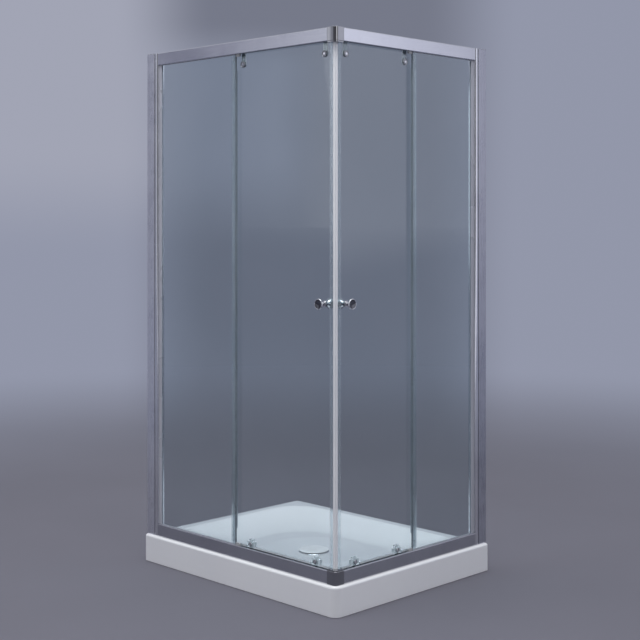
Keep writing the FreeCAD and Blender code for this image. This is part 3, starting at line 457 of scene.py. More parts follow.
drawn_lines = drawn_lines_effect()
rubbed_edges = rubbed_edges_effect()
mould_grain = mould_grain_effect()


class Bench:
    """A material under work: its tree, its surface shader and its object coordinates."""

    def __init__(self, name):
        self.material = bpy.data.materials.new(name)
        self.material.use_nodes = True
        self.tree = self.material.node_tree
        self.surface = self.tree.nodes["Principled BSDF"]
        self.place = add_node(self.tree, "TexCoord").outputs["Object"]

    def effect(self, tree, **values):
        """What a shared effect puts out, with this material's own values in it."""
        node = add_node(self.tree, "Group", node_tree=tree)
        if "Place" in node.inputs:
            values["Place"] = self.place
        for label, value in values.items():
            feed(self.tree, node.inputs[label], value)
        return node.outputs

    def between(self, share, low, high):
        """A number from low to high as the share goes from 0.3 to 0.7, where noise mostly lies."""
        return ramp(self.tree, share, 0.3, 0.7, low, high)

    def varied(self, share, first, second):
        """A colour that drifts between two colours."""
        return blend(self.tree, self.between(share, 0.0, 1.0), first, second)

    def set(self, **values):
        """Feed the surface shader. An underscore stands for a space in a label."""
        for label, value in values.items():
            feed(self.tree, self.surface.inputs[label.replace("_", " ")], value)

    def rubbed(self, amount, tone, rub_tone):
        """Give the surface its tone, with the edges rubbed to another one."""
        rub = self.effect(rubbed_edges, Amount=amount)["Rub"]
        self.set(Base_Color=blend(self.tree, rub, tone, tuple(min(1.0, c) for c in rub_tone)))

    def roughened(self, rough, fine, low, high, slow, drift):
        """Roughness between two shares of its plain value by a fine pattern, with a slow drift on it."""
        fine = self.between(fine, rough * low, rough * high)
        slow = self.between(slow, -rough * drift, rough * drift)
        self.set(Roughness=worked_out(self.tree, "ADD", fine, slow))

    def bump(self, height, strength, distance):
        node = add_node(self.tree, "Bump", {"Strength": strength, "Distance": distance, "Height": height})
        self.set(Normal=node.outputs["Normal"])

    def show(self, share, other):
        """Show the surface shader, and another one by its share."""
        mix = add_node(self.tree, "MixShader", {"Fac": share, 1: self.surface.outputs["BSDF"], 2: other})
        feed(self.tree, self.tree.nodes["Material Output"].inputs["Surface"], mix.outputs["Shader"])


def metal(name, dull, bright, rough, stretch=(1.0, 1.0, 1.0), depth=0.15, fineness=900.0):
    """A metal with drawn or brushed lines along one axis and rubbed edges."""
    bench = Bench(name)
    lines = bench.effect(drawn_lines, Stretch=stretch, Fineness=fineness)
    tone = bench.varied(lines["Drift"], dull, bright)
    lined = blend(bench.tree, bench.between(lines["Lines"], 0.0, 0.35), tone, bright)
    bench.rubbed(0.8, lined, [c * 1.15 for c in bright])
    bench.roughened(rough, lines["Lines"], 0.75, 1.2, lines["Drift"], 0.12)
    bench.set(Metallic=1.0)
    if depth:
        bench.bump(lines["Lines"], depth, 0.00005)
    return bench.material


def plastic(name, first, second, rough, grain=1400.0, clouds=6.0, depth=0.1, coat=0.0):
    """A moulded plastic with a fine grain, a slow drift in tone and rubbed edges."""
    bench = Bench(name)
    mould = bench.effect(mould_grain, Grain=grain, Clouds=clouds)
    bench.rubbed(0.35, bench.varied(mould["Clouds"], first, second), [c * 1.1 + 0.02 for c in second])
    bench.roughened(rough, mould["Grain"], 0.85, 1.15, mould["Clouds"], 0.15)
    bench.bump(mould["Grain"], depth, 0.00004)
    if coat:
        bench.set(Coat_Weight=coat, Coat_Roughness=0.05)
    return bench.material


def clear(name, first, second, rough, wave, let_through, see_through=1.0, ior=1.5, depth=0.04):
    """Glass or clear plastic. Light from the lamps passes it, so that what is behind stays lit."""
    bench = Bench(name)
    mould = bench.effect(mould_grain, Grain=wave, Clouds=3.0)
    bench.set(
        Base_Color=bench.varied(mould["Clouds"], first, second),
        Roughness=bench.between(mould["Clouds"], rough * 0.6, rough * 1.4),
        Transmission_Weight=see_through, IOR=ior)
    if depth:
        bench.bump(mould["Grain"], depth, 0.0001)
    passed = add_node(bench.tree, "BsdfTransparent", {"Color": let_through})
    bench.show(add_node(bench.tree, "LightPath").outputs["Is Shadow Ray"], passed.outputs["BSDF"])
    return bench.material


def chipboard(name):
    """Pressed wood chips, pale and dark, under a thin skin."""
    bench = Bench(name)
    chips = add_node(bench.tree, "TexVoronoi", {"Vector": bench.place, "Scale": 260.0})
    grey = add_node(bench.tree, "SeparateColor", {"Color": chips.outputs["Color"]}).outputs["Red"]
    mould = bench.effect(mould_grain)
    tone = blend(bench.tree, grey, (0.33, 0.22, 0.12), (0.56, 0.42, 0.26))
    bench.set(
        Base_Color=blend(bench.tree, bench.between(mould["Clouds"], 0.0, 0.5), tone, (0.42, 0.31, 0.19)),
        Roughness=bench.between(mould["Grain"], 0.6, 0.85))
    bench.bump(grey, 0.3, 0.0002)
    return bench.material


# How far the noise is drawn out along x, y and z for lines along each way
LONGWAYS, CROSSWAYS, UPRIGHT = (0.012, 1.0, 1.0), (1.0, 0.012, 1.0), (1.0, 1.0, 0.012)
RAIL_LINES = {"long": LONGWAYS, "short": CROSSWAYS}
# The bottom rails get a darker copy of the same rail metal: painted shade, for the shade they stand in low down.
RAIL_TONES = {
    "top": ("satin rail metal ", (0.60, 0.61, 0.67), (0.68, 0.69, 0.74)),
    "bottom": ("satin rail metal with painted shade ", (0.47, 0.475, 0.52), (0.53, 0.54, 0.58)),
}
rail_metal = {
    (end, side): metal(name + side, dull, bright, 0.2, RAIL_LINES[side], 0.05)
    for end, (name, dull, bright) in RAIL_TONES.items() for side in SIDES}
# The long side's channel is a lighter copy of the short side's metal: painted light.
channel_metal = {
    "long": metal("satin wall channel with painted light, long", (0.66, 0.67, 0.73), (0.74, 0.75, 0.8), 0.3, UPRIGHT, 0.06),
    "short": metal("satin short wall channel", (0.42, 0.43, 0.49), (0.49, 0.5, 0.56), 0.3, UPRIGHT, 0.06)}
ridge_metal = metal("bright wall post", (0.64, 0.65, 0.69), (0.76, 0.77, 0.8), 0.16, UPRIGHT, 0.05)
chrome = metal("mirror chrome", (0.6, 0.61, 0.64), (0.7, 0.71, 0.74), 0.05, depth=0.0)
# The corner castings are chrome made darker to paint in a dark reflection.
corner_chrome_painted_dark = metal("chrome corner casting with painted dark reflection", (0.27, 0.274, 0.292), (0.32, 0.325, 0.345), 0.06, UPRIGHT, 0.0)
satin_cap = metal("satin grey cap", (0.31, 0.32, 0.345), (0.37, 0.38, 0.405), 0.4, depth=0.0)
# The knobs' dished faces are a darker copy of the chrome: a painted dark reflection.
knob_face_painted_dark = metal("chrome knob face with painted dark reflection", (0.1, 0.102, 0.115), (0.14, 0.143, 0.155), 0.06, depth=0.0)
satin_steel = metal("satin hanger steel", (0.57, 0.58, 0.6), (0.65, 0.66, 0.68), 0.5, UPRIGHT, 0.05)
zinc = metal("zinc plated steel", (0.5, 0.5, 0.49), (0.66, 0.66, 0.64), 0.3, (1.0, 1.0, 1.0), 0.1, 500.0)

# The panes' tint is darker than clear glass: partly the glass's own faint teal, partly painted shade of the
# enclosure's inside.
pane_glass = clear(
    "safety glass with painted shade", (0.665, 0.735, 0.765), (0.7, 0.765, 0.795), 0.008, 3.0, (0.84, 0.88, 0.9), ior=1.45)
glass_rim = clear("green glass edge", (0.17, 0.25, 0.27), (0.23, 0.31, 0.325), 0.12, 60.0, (0.5, 0.62, 0.6), 0.7)
clear_strip = clear(
    "clear soft strip", (0.88, 0.91, 0.93), (0.92, 0.94, 0.95), 0.05, 60.0, (0.9, 0.92, 0.93), 0.96, 1.18, 0.0)
milky_strip = clear(
    "milky soft strip", (0.72, 0.75, 0.79), (0.78, 0.81, 0.84), 0.3, 60.0, (0.8, 0.82, 0.84), 0.45, 1.3, 0.0)
smoky_lip = clear(
    "smoky sealing lip", (0.4, 0.45, 0.5), (0.46, 0.51, 0.56), 0.2, 60.0, (0.5, 0.55, 0.57), 0.75, 1.3, 0.0)
grey_lining = clear(
    "grey glazing strip", (0.5, 0.51, 0.57), (0.57, 0.58, 0.64), 0.3, 60.0, (0.6, 0.61, 0.65), 0.3, 1.3, 0.0)
frosted_plastic = clear(
    "frosted roller plastic", (0.86, 0.88, 0.9), (0.92, 0.93, 0.94), 0.25, 200.0, (0.85, 0.87, 0.88), 0.62, 1.3, 0.0)

acrylic = plastic(
    "gloss white acrylic", (0.82, 0.83, 0.86), (0.86, 0.87, 0.89), 0.1, clouds=2.5, depth=0.02, coat=0.5)
magnet_strip = plastic("white magnet strip", (0.78, 0.8, 0.83), (0.88, 0.89, 0.91), 0.22, grain=700.0, coat=0.4)
grey_plastic = plastic("grey moulded plastic", (0.32, 0.33, 0.345), (0.4, 0.41, 0.425), 0.36)
nylon = plastic("white nylon", (0.76, 0.76, 0.73), (0.84, 0.84, 0.81), 0.38, depth=0.15)
rubber = plastic("black rubber", (0.018, 0.018, 0.019), (0.035, 0.035, 0.036), 0.7, grain=900.0, depth=0.4)
black_plastic = plastic("black foot plastic", (0.03, 0.03, 0.032), (0.05, 0.05, 0.052), 0.45, depth=0.3)
waste_plastic = plastic("white waste plastic", (0.8, 0.8, 0.81), (0.86, 0.86, 0.87), 0.3, depth=0.1)


# ---- tray

TRAY_X, TRAY_Y, TRAY_HEIGHT, TRAY_WALL, RIM_ROUND = 500, 400, 100, 5, 9
TRAY_CORNERS = (9, 30, 9, 9)
BASIN, BASIN_FLOOR, BASIN_DEPTH = (-462, 430, -330, 362), (-270, 270, -205, 205), 44
# Run inwards and depth of the basin's side
BASIN_CURVE = (
    (1.0, 1.0), (0.94, 0.976), (0.88, 0.946), (0.82, 0.91), (0.74, 0.856), (0.66, 0.793), (0.58, 0.722),
    (0.5, 0.642), (0.42, 0.553), (0.34, 0.456), (0.26, 0.35), (0.19, 0.25), (0.135, 0.168), (0.09, 0.1),
    (0.06, 0.06), (0.036, 0.028), (0.016, 0.009), (0.0, 0.001))
# Run inwards and height of the hollow under the basin
UNDERSIDE = ((0.04, 94.6), (0.3, 78.5), (0.6, 59.5), (0.8, 51.5), (1.0, 47))
# Radius and height of the basin floor's rings round the drain, from the drain hole outwards
DRAIN_HOLE, DRAIN_TOP, DRAIN_BELOW = 45, 52, 47
FLOOR_RINGS = ((62, 52), (186, 55.87), (193, 55.97))
ROUND_STEPS = 52


def mark_ring(number):
    """Mark the points just drawn as a numbered outline."""
    mesh = bpy.context.edit_object.data
    shape = bmesh.from_edit_mesh(mesh)
    marks = shape.verts.layers.int.get("outline") or shape.verts.layers.int.new("outline")
    for point in shape.verts:
        if point.select:
            point[marks] = number
    bmesh.update_edit_mesh(mesh)


def circle(radius, z):
    bpy.ops.mesh.primitive_circle_add(
        vertices=ROUND_STEPS, radius=radius * MM, fill_type="NOTHING", location=at(0, 0, z))


def round_ring(number, radius, z):
    pick_none()
    circle(radius, z)
    mark_ring(number)


def square_ring(number, box, radii, z):
    """A rectangle with a radius at each corner: near left, near right, far right, far left."""
    x0, x1, y0, y1 = box
    middle = at((x0 + x1) / 2, (y0 + y1) / 2, z)
    pick_none()
    bpy.ops.mesh.primitive_plane_add(size=1, location=middle)
    bpy.ops.transform.resize(value=((x1 - x0) * MM, (y1 - y0) * MM, 1), center_override=middle)
    mark_ring(-1)
    for x, y, radius in zip((x0, x1, x1, x0), (y0, y0, y1, y1), radii):
        corner = at(x, y, z)
        choose("VERT", lambda point: (point.co - corner).length < 0.00001)
        rounded_off("VERTICES", max(radius, 0.4), 12, clamp_overlap=False)
    level = at(0, 0, z).z
    choose("FACE", lambda face: len(face.verts) > 8 and abs(face.verts[0].co.z - level) < 0.000001)
    bpy.ops.mesh.select_mode(type="VERT")
    mark_ring(number)
    bpy.ops.mesh.delete(type="ONLY_FACE")


def bridged(first, second):
    """Close the band between two outlines."""
    marks = bmesh.from_edit_mesh(bpy.context.edit_object.data).verts.layers.int.get("outline")

    def on_either(edge):
        one, other = (point[marks] for point in edge.verts)
        return one == other and one in (first, second)
    choose("EDGE", on_either)
    bpy.ops.mesh.bridge_edge_loops()


def basin_box(share, grow=0):
    """The basin's outline at a share of the way from its rim to its floor."""
    x0, x1, y0, y1 = (a + (b - a) * share for a, b in zip(BASIN, BASIN_FLOOR))
    return (x0 - grow, x1 + grow, y0 - grow, y1 + grow)


def skirt_ring(inset, z):
    """The tray's outer outline, drawn in by an inset."""
    box = (inset - TRAY_X, TRAY_X - inset, inset - TRAY_Y, TRAY_Y - inset)
    return box, [radius - inset for radius in TRAY_CORNERS], z


def make_tray():
    put_down()
    circle(DRAIN_HOLE, DRAIN_TOP)
    tray = frozen(named("tray_shell"))
    start_work(tray)
    pick_all()
    mark_ring(1)
    squares = [
        (basin_box(share), [120 + 45 * share] * 4, TRAY_HEIGHT - BASIN_DEPTH * depth) for share, depth in BASIN_CURVE]
    for degrees in (90, 75, 60, 45, 30, 15, 0):
        turn = math.radians(degrees)
        squares.append(skirt_ring(
            RIM_ROUND - RIM_ROUND * math.cos(turn), TRAY_HEIGHT - RIM_ROUND + RIM_ROUND * math.sin(turn)))
    for inset, z in ((0, 1.2), (1.2, 0), (TRAY_WALL, 0.05), (TRAY_WALL, TRAY_HEIGHT - TRAY_WALL)):
        squares.append(skirt_ring(inset, z))
    squares += [(basin_box(share, TRAY_WALL), [125 + 45 * share] * 4, z) for share, z in UNDERSIDE]
    number = 1
    for radius, z in FLOOR_RINGS:
        number += 1
        round_ring(number, radius, z)
    for box, radii, z in squares:
        number += 1
        square_ring(number, box, radii, z)
    last = number + 1
    round_ring(last, DRAIN_HOLE, DRAIN_BELOW)
    for number in range(2, last + 1):
        bridged(number - 1, number)
    bridged(last, 1)
    facing_out()
    stop_work()
    corners = [at(x, TRAY_Y - 11, z) for x, z in ((-30, -5), (30, -5), (30, 56), (-30, 56))]
    notch = traced("pipe_notch", corners, [(corners[2], 12), (corners[3], 12)], 6)
    fitted(tray, pushed(notch, at(0, 20, 0)))
    finish(tray, [acrylic], ["tray"], 0)


# ---- rails and corner connectors

# Distances inwards (v) and from the closed back of the rail. The bead is the lip that the wheels run on.
BEAD = (
    (46.55, 34.4), (46.55, 34.3), (47.1, 33.75), (47.3, 33), (46.86, 31.94), (45.8, 31.5), (44.74, 31.94),
    (44.3, 33), (44.5, 33.75), (45.05, 34.3), (45.05, 34.4))
RAIL_SECTION = (
    (12, 0), (12, 44), (19.2, 44), (19.2, 22), (26.8, 22), (26.8, 44), (28.4, 44), (28.4, 1.6), (49.4, 1.6),
    (49.4, 34.4)) + BEAD + ((43.4, 34.4), (43.4, 36), (51, 36), (51, 0))
RAIL_START = 51
COUNTERSINK = ((0, -1), (4.6, -1), (3.85, 0), (2.15, 1.6), (2.15, 14), (0, 14))
SCREW_LINE = 20.2
# Weep slots under the bottom rails: first place, pitch, length, and reach inwards and upwards
WEEP_START, WEEP_PITCH, WEEP_LENGTH, WEEP_REACH = 126, 150, 20, (47, 53, 101.6, 105.6)


def height(end, q):
    """Height of a point at a distance from the closed back of a top or bottom rail."""
    return FRAME_LOW + q if end == "bottom" else FRAME_HIGH - q


def rail_screw_places(side, end):
    return [at(s, SCREW_LINE, height(end, 0)) for s in (65, POST_FACE[side] - 14)]


def make_rail(side, end):
    outline = [(v, height(end, q)) for v, q in RAIL_SECTION]
    rounds = [(12, height(end, 0), 2.5), (12, height(end, 44), 2.5)]
    rail = section_bar(end + "_rail_bar_" + side, outline, RAIL_START, POST_FACE[side], rounds)
    into_back = UP if end == "bottom" else -UP
    sinks = [spun("countersink", COUNTERSINK, place, into_back, 24) for place in rail_screw_places(side, end)]
    fitted(rail, joined("countersinks", sinks))
    if end == "bottom":
        starts = range(WEEP_START, POST_FACE[side], WEEP_PITCH)
        weeps = [blank("weep", s, s + WEEP_LENGTH, *WEEP_REACH) for s in starts]
        fitted(rail, joined("weeps", weeps))
    # Bottom rails take the darker copy of the metal: painted shade.
    finish(stood(rail, side), [rail_metal[end, side]], [end + "_rail_" + side], 0.3)


def make_connector(end):
    """A corner casting: an L in plan with a rounded outer corner, a cover plate and a stepped lip."""
    back = 0 if end == "bottom" else -1
    low, high, cover = height(end, back), height(end, 44), height(end, 3)
    inner = ((51, 28.4), (28.4, 28.4), (28.4, 51))
    body = plan_bar(end + "_corner_casting", ((11, 11), (51, 11), *inner, (11, 51)), low, high, [(11, 11, 14)])
    ledge = ((13, 13), (51, 13), *inner, (13, 51))
    fitted(body, plan_bar("lip", ledge, high, height(end, 49), [(13, 13, 12)]), "UNION")
    fitted(body, blank("cover_plate", 28.4, 51, 28.4, 51, min(low, cover), max(low, cover)), "UNION")
    # The casting's darker chrome is a painted dark reflection.
    finish(stood(body, "short"), [corner_chrome_painted_dark], [end + "_corner_connector"], 0.6, 3)


# ---- wall channels, posts and caps

# Distances from the wall and inwards
CHANNEL_SECTION = ((0, 12), (42, 12), (42, 13.8), (1.8, 13.8), (1.8, 45.2), (42, 45.2), (42, 47), (0, 47))


def make_channel(side):
    wall = RUN[side]
    outline = [(wall - w, v) for w, v in CHANNEL_SECTION]
    channel = plan_bar("wall_channel_bar_" + side, outline, FRAME_LOW, FRAME_HIGH)
    drills = [spun("drill", rod(3, -5, 3), at(wall - 1, 29.5, z), ALONG, 24) for z in WALL_SCREWS]
    drills += [spun("drill", rod(2.2, 44, 50), at(wall - 25, 0, z), INWARDS, 24) for z in POST_SCREWS]
    fitted(channel, joined("drills", drills))
    # The long side's lighter channel metal is painted light.
    finish(stood(channel, side), [channel_metal[side]], ["wall_channel_" + side], 0.35)


def make_post(side):
    """The sliding post: its ridge bulges on both faces, and a slot in its end takes the glass."""
    corners = [(8, 14.2), (42.4, 14.2)] + bow((42.4, 14.2), (52.7, 11.2), (63, 14.2), 10)
    corners += [(63, 19.2), (48, 19.2), (48, 26.8), (63, 26.8), (63, 44.8)]
    corners += bow((63, 44.8), (52.7, 47.8), (42.4, 44.8), 10) + [(8, 44.8)]
    outline = [(RUN[side] - w, v) for w, v in corners]
    post = stood(plan_bar("wall_post_bar_" + side, outline, FRAME_LOW, FRAME_HIGH), side)
    finish(post, [ridge_metal], ["wall_post_" + side], 0.3, angle=40)


def make_channel_cap(side):
    """A thin lid with a hollow plug under it."""
    wall, name = RUN[side], "channel_cap_" + side
    lid = panelled(blank(name, wall - 42, wall, 12, 47, 1899, 1900), -UP, 1.8, 0)
    plug = panelled(blank("plug", wall - 7.6, wall - 1.8, 13.8, 45.2, 1893, 1899), -UP, 1.4, 5.8)
    return finish(stood(joined(name, [lid, plug]), side), [grey_plastic], [], 0.3)


# ---- glass

GLASS_AIR = 0.12


def make_pane(name, side, lead, tail, faces, low, high, holes, node, body="enclosure"):
    """A pane, with a hair of air to the strips and plates on it so that each shows through the glass."""
    v0, v1 = faces
    air = GLASS_AIR
    pane = blank(name + side, lead + air, tail - air, v0 + air, v1 - air, low + air, high - air)
    if holes:
        bored(pane, holes, v0 - 2, v1 + 2)
    finish(stood(pane, side), [pane_glass, glass_rim], [node], 0.7, 2, 60, body)
    across = (STAND[side].to_3x3() @ INWARDS).normalized()
    second_finish(pane, lambda face: abs(face.normal.dot(across)) < 0.8)


def make_panes(side):
    make_pane(
        "fixed_pane_", side, FIXED_EDGE[side], RUN[side] - FIXED_TO_WALL, FIXED_FACES, FIXED_LOW, FIXED_HIGH, (),
        "fixed_glass_" + side)
    bolts = ((HANGER_BOLT, ROLLERS["top"][side]), (LOW_BOLT, ROLLERS["bottom"][side]), (KNOB_HEIGHT, (KNOB_PLACE,)))
    holes = [(s, z, 6) for z, places in bolts for s in places]
    make_pane(
        "door_pane_", side, DOOR_LEAD, DOOR_TAIL[side], DOOR_FACES, DOOR_LOW, DOOR_HIGH, holes,
        side + "_door_glass", side + "_door")


# ---- gaskets and seals

SEAL_WALL = 1.2
GLAZING_LINING = (
    (19.3, 22.1), (19.3, 45.5), (20.5, 45.5), (20.5, 25), (25.5, 25), (25.5, 45.5), (26.7, 45.5), (26.7, 22.1))
MAGNET_SECTION = (
    (32.112, 31.9), (42.5, 31.9), (57.7, 31.9), (57.7, 33.5), (41.7, 33.5), (41.7, 38.5), (57.7, 38.5),
    (57.7, 40.1), (42.5, 40.1), (40.312, 40.1))
DRIP_SECTION = (
    (32.3, 130), (33.5, 130), (33.5, 136), (39.7, 136), (39.7, 148), (38.5, 148), (38.5, 138), (33.5, 138),
    (33.5, 148), (32.3, 148))


def make_gasket(side):
    """A soft lining in both glazing slots, and a wide band on each face beside the post."""
    edge, face = FIXED_EDGE[side], POST_FACE[side]
    parts = []
    for end in ENDS:
        parts.append(section_bar("lining", [(v, height(end, q)) for v, q in GLAZING_LINING], edge, face))
    for v_out, v_in in ((17.5, 20.5), (28.5, 25.5)):
        outline = ((face - 16, v_in), (face - 16, v_out), (face, v_out), (face, v_in))
        parts.append(plan_bar("band", outline, 145.5, 1853.5, [(face - 16, v_out, 2)]))
    lining = stood(joined("fixed_gasket_strip_" + side, parts), side)
    finish(lining, [grey_lining], ["fixed_gasket_" + side], 0.25)


def edge_strip(name, side, edge, way, faces, fin_root, fin_tip, fin_low, fin_high):
    """A seal clipped over an upright glass edge, with a slanted fin. way is 1 where the glass runs on
    along the side, and -1 where it runs back."""
    v0, v1 = faces
    nose, tail, low, high = edge - SEAL_WALL * way, edge + 14 * way, v0 - SEAL_WALL, v1 + SEAL_WALL
    clip = ((tail, low), (nose, low), (nose, high), (tail, high), (tail, v1), (edge, v1), (edge, v0), (tail, v0))
    fin = ((nose, fin_root), (edge - 0.2 * way, fin_root), (edge + 2.8 * way, fin_tip), (edge + 1.8 * way, fin_tip))
    parts = [
        plan_bar("clip", clip, SEAL_LOW, SEAL_HIGH, [(nose, low, 1), (nose, high, 1)]),
        plan_bar("fin", fin, fin_low, fin_high)]
    return stood(joined(name + side, parts), side)


def make_edge_seals(side):
    """The seals of the fixed pane's free edge and of the door's trailing edge."""
    edge = FIXED_EDGE[side]
    strip = edge_strip("fixed_edge_strip_", side, edge, 1, FIXED_FACES, 26.3, 33.2, 200, 1799)
    finish(strip, [clear_strip, smoky_lip], ["fixed_edge_seal_" + side], 0.2)
    second_finish_where(strip, side, lambda s, v, z: s < edge + 0.5 or v > 27.2)
    strip = edge_strip("door_back_strip_", side, DOOR_TAIL[side], -1, DOOR_FACES, 32.7, 25.8, SEAL_LOW, SEAL_HIGH)
    finish(strip, [clear_strip], [side + "_door_back_seal"], 0.2, body=side + "_door")


def make_magnet_seal(side):
    """The mitred magnet nose, white, on clear wings over the glass edge."""
    strip = stood(plan_bar("magnet_strip_" + side, MAGNET_SECTION, DOOR_LOW, DOOR_HIGH), side)
    finish(
        strip, [clear_strip, magnet_strip], [side + "_door_magnet_seal"], 0.3, body=side + "_door")
    second_finish_where(strip, side, lambda s, v, z: s < DOOR_LEAD + 0.2)


def make_drip_seal(side):
    """Three stretches under the door, between and beside the roller housings."""
    front, rear = ROLLERS["bottom"][side]
    stretches = ((58.9, front - 21), (front + 21, rear - 21), (rear + 21, DOOR_TAIL[side] - 15.2))
    parts = [section_bar("stretch", DRIP_SECTION, s0, s1) for s0, s1 in stretches]
    strip = stood(joined("drip_strip_" + side, parts), side)
    finish(strip, [milky_strip], [side + "_door_drip_seal"], 0.2, body=side + "_door")


# ---- knobs

# Reach from the glass, length of the stud, and the way it points: -1 is out of the cabin
KNOBS = {"outer": (30, 14, -1), "inner": (26, 0, 1)}


def knob_outline(reach, stud):
    """Half outline of a trumpet knob: base ring, waist, flare, rim and a dished face."""
    points = [(0, -stud), (4, -stud), (4, 0), (10.4, 0), (11, 0.6), (11, 2.6), (10.6, 3), (7.5, 3), (7, 3.5)]
    run, drop = reach - 4.2 - 3, 11
    radius = (run * run + drop * drop) / (2 * drop)
    for step in range(1, 13):
        angle = math.asin(run / radius) * step / 12
        points.append((7 + radius * (1 - math.cos(angle)), 3 + radius * math.sin(angle)))
    return points + [
        (18, reach - 1.5), (17.7, reach - 0.7), (16.8, reach), (15.6, reach), (14.9, reach - 0.5), (12, reach - 1.1),
        (6, reach - 1.6), (0, reach - 1.8)]


def make_knobs():
    models = {}
    for which, (reach, stud, way) in KNOBS.items():
        foot = at(KNOB_PLACE, DOOR_FACES[0 if way < 0 else 1], KNOB_HEIGHT)
        models[which] = spun(which + "_knob", knob_outline(reach, stud), foot, INWARDS * way, 64)
    for side in SIDES:
        for which, (reach, stud, way) in KNOBS.items():
            face = DOOR_FACES[0 if way < 0 else 1] + reach * way
            knob = stood(duplicate(models[which], side + "_" + which + "_trumpet_knob"), side)
            finish(
                knob, [chrome, knob_face_painted_dark], [side + "_door_" + which + "_knob"], 0, body=side + "_door")
            # The dished face gets the darker chrome: painted dark reflection.
            second_finish_where(knob, side, lambda s, v, z: (
                (v - face) * way > -2.3 and math.hypot(s - KNOB_PLACE, z - KNOB_HEIGHT) < 15.2))
    put_away(*models.values())


# ---- rollers and what holds them

# Half outlines: radius and distance inwards
WHEEL = (
    (2.55, 43), (10.4, 43), (11, 43.6), (11, 44), (10.2, 44.1), (9.5, 44.6), (9.2, 45.3), (9.2, 46.3), (9.5, 47),
    (10.2, 47.5), (11, 47.6), (11, 48), (10.4, 48.6), (5.6, 48.6), (5.4, 48.4), (5.4, 47.2), (2.55, 47.2), (2.55, 43))
AXLE = (
    (0, 37.3), (3.4, 37.3), (4, 37.5), (4.2, 37.9), (4.2, 38.5), (2.5, 38.5), (2.5, 47.5), (4.2, 47.5), (4.2, 48.1),
    (4, 48.5), (3.4, 48.7), (0.9, 48.7), (0.7, 48.4), (0, 48.4))
TOP_BOLT = (
    (0, 31), (4, 31), (4.5, 31.5), (8.4, 31.5), (9.2, 30.8), (10, 30.8), (10.6, 31.1), (11, 31.8), (11, 33.5),
    (5.8, 33.5), (5.8, 38.5), (3, 38.5), (3, 42.5), (8, 42.5), (8, 44.6), (7.5, 45.7), (6.4, 46.5), (4.6, 46.9),
    (0, 46.9))
LOW_CAP_BOLT = (
    (0, 31), (3.2, 31), (3.6, 31.4), (5.4, 31.4), (6, 30.8), (6.6, 30.8), (7.2, 31.1), (7.6, 31.8), (7.6, 33.5),
    (5.8, 33.5), (5.8, 38.5), (3, 38.5), (3, 47), (2.5, 47.5), (0, 47.5))
SLIDE_PIN = ((0, 41), (2.5, 41), (2.5, 47.5), (4.2, 47.5), (4.2, 48.2), (3.5, 48.7), (0, 48.7))
HOUSING_PLAN = (
    (-19, 38.5), (-6.3, 38.5), (-6.3, 42.6), (6.3, 42.6), (6.3, 38.5), (19, 38.5), (19, 50.5), (-19, 50.5))


def round_ended(low, low_radius, high, high_radius, steps=14):
    """Outline of a plate with a round end below and a round end above."""
    lean = math.asin((low_radius - high_radius) / (high - low))
    across, rise = math.cos(lean), math.sin(lean)
    low_left, low_right = ((way * low_radius * across, low + low_radius * rise) for way in (-1, 1))
    high_left, high_right = ((way * high_radius * across, high + high_radius * rise) for way in (-1, 1))
    return (
        [low_left] + bow(low_left, (0, low - low_radius), low_right, steps)
        + [high_right] + bow(high_right, (0, high + high_radius), high_left, steps))


def copies_along(model, name, side, places):
    """Copies of one model at places along a side, taken together as one piece."""
    return stood(joined(name, [duplicate(model, name, at(s, 0, 0)) for s in places]), side)


def wheel_model(z):
    """A grooved wheel with six dimples in its face."""
    wheel = spun("nylon_wheel", WHEEL, at(0, 0, z), INWARDS)
    dimples = []
    for step in range(6):
        turn = math.tau * step / 6
        middle = at(7.5 * math.cos(turn), 0, z + 7.5 * math.sin(turn))
        dimples.append(spun("dimple", rod(1.1, 47.8, 49.5), middle, INWARDS, 16))
    return fitted(wheel, joined("dimples", dimples))


def hanger_model():
    hanger = plate("hanger_plate", round_ended(HANGER_BOLT, 11, HANGER_AXLE, 7.5), 38.5, 42.5)
    return bored(hanger, ((0, HANGER_BOLT, 3.2), (0, HANGER_AXLE, 2.7)), 37, 44)


def top_bolt_model():
    """A low cap outside the glass, and a nut inside it with a six-sided key hole."""
    bolt = spun("top_cap_bolt", TOP_BOLT, at(0, 0, HANGER_BOLT), INWARDS)
    return fitted(bolt, spun("key", rod(2.6, 45, 48), at(0, 0, HANGER_BOLT), INWARDS, 6))


def housing_model():
    """A rounded box with a way down its back for the slide, and a sunk panel on its face."""
    housing = plan_bar("roller_housing", HOUSING_PLAN, 145, 161, [(19, 50.5, 5), (-19, 50.5, 5)])
    return bored(panelled(housing, INWARDS, 2.4, 0.7), ((0, LOW_BOLT, 3.2),), 37, 47.8)


def slide_model():
    """A slotted plate with a round foot, the wheel's pin, and a ribbed button on top."""
    start = LOW_AXLE + math.sqrt(7 * 7 - 6 * 6)
    outline = [(-6, 166), (6, 166), (6, start)] + bow((6, start), (0, LOW_AXLE - 7), (-6, start), 20)
    slide = plate("slide_plate", outline, 38.9, 42.3)
    fitted(slide, plate("slot", round_ended(LOW_BOLT, 3.3, LOW_BOLT + 4, 3.3), 37, 44))
    button = blank("button", -10, 10, 38.9, 47.9, 165.5, 170.5)
    start_work(button, "EDGE")
    top = at(0, 0, 170.4).z
    choose("EDGE", lambda edge: all(point.co.z > top for point in edge.verts))
    rounded_off("EDGES", 1.5, 3)
    stop_work()
    ribs = [blank("rib", s - 0.6, s + 0.6, 40.6, 46.2, 169.6, 172) for s in (-6.4, -3.2, 0, 3.2, 6.4)]
    fitted(button, joined("ribs", ribs))
    pin = spun("pin", SLIDE_PIN, at(0, 0, LOW_AXLE), INWARDS, 32)
    fitted(slide, button, "UNION")
    return fitted(slide, pin, "UNION")


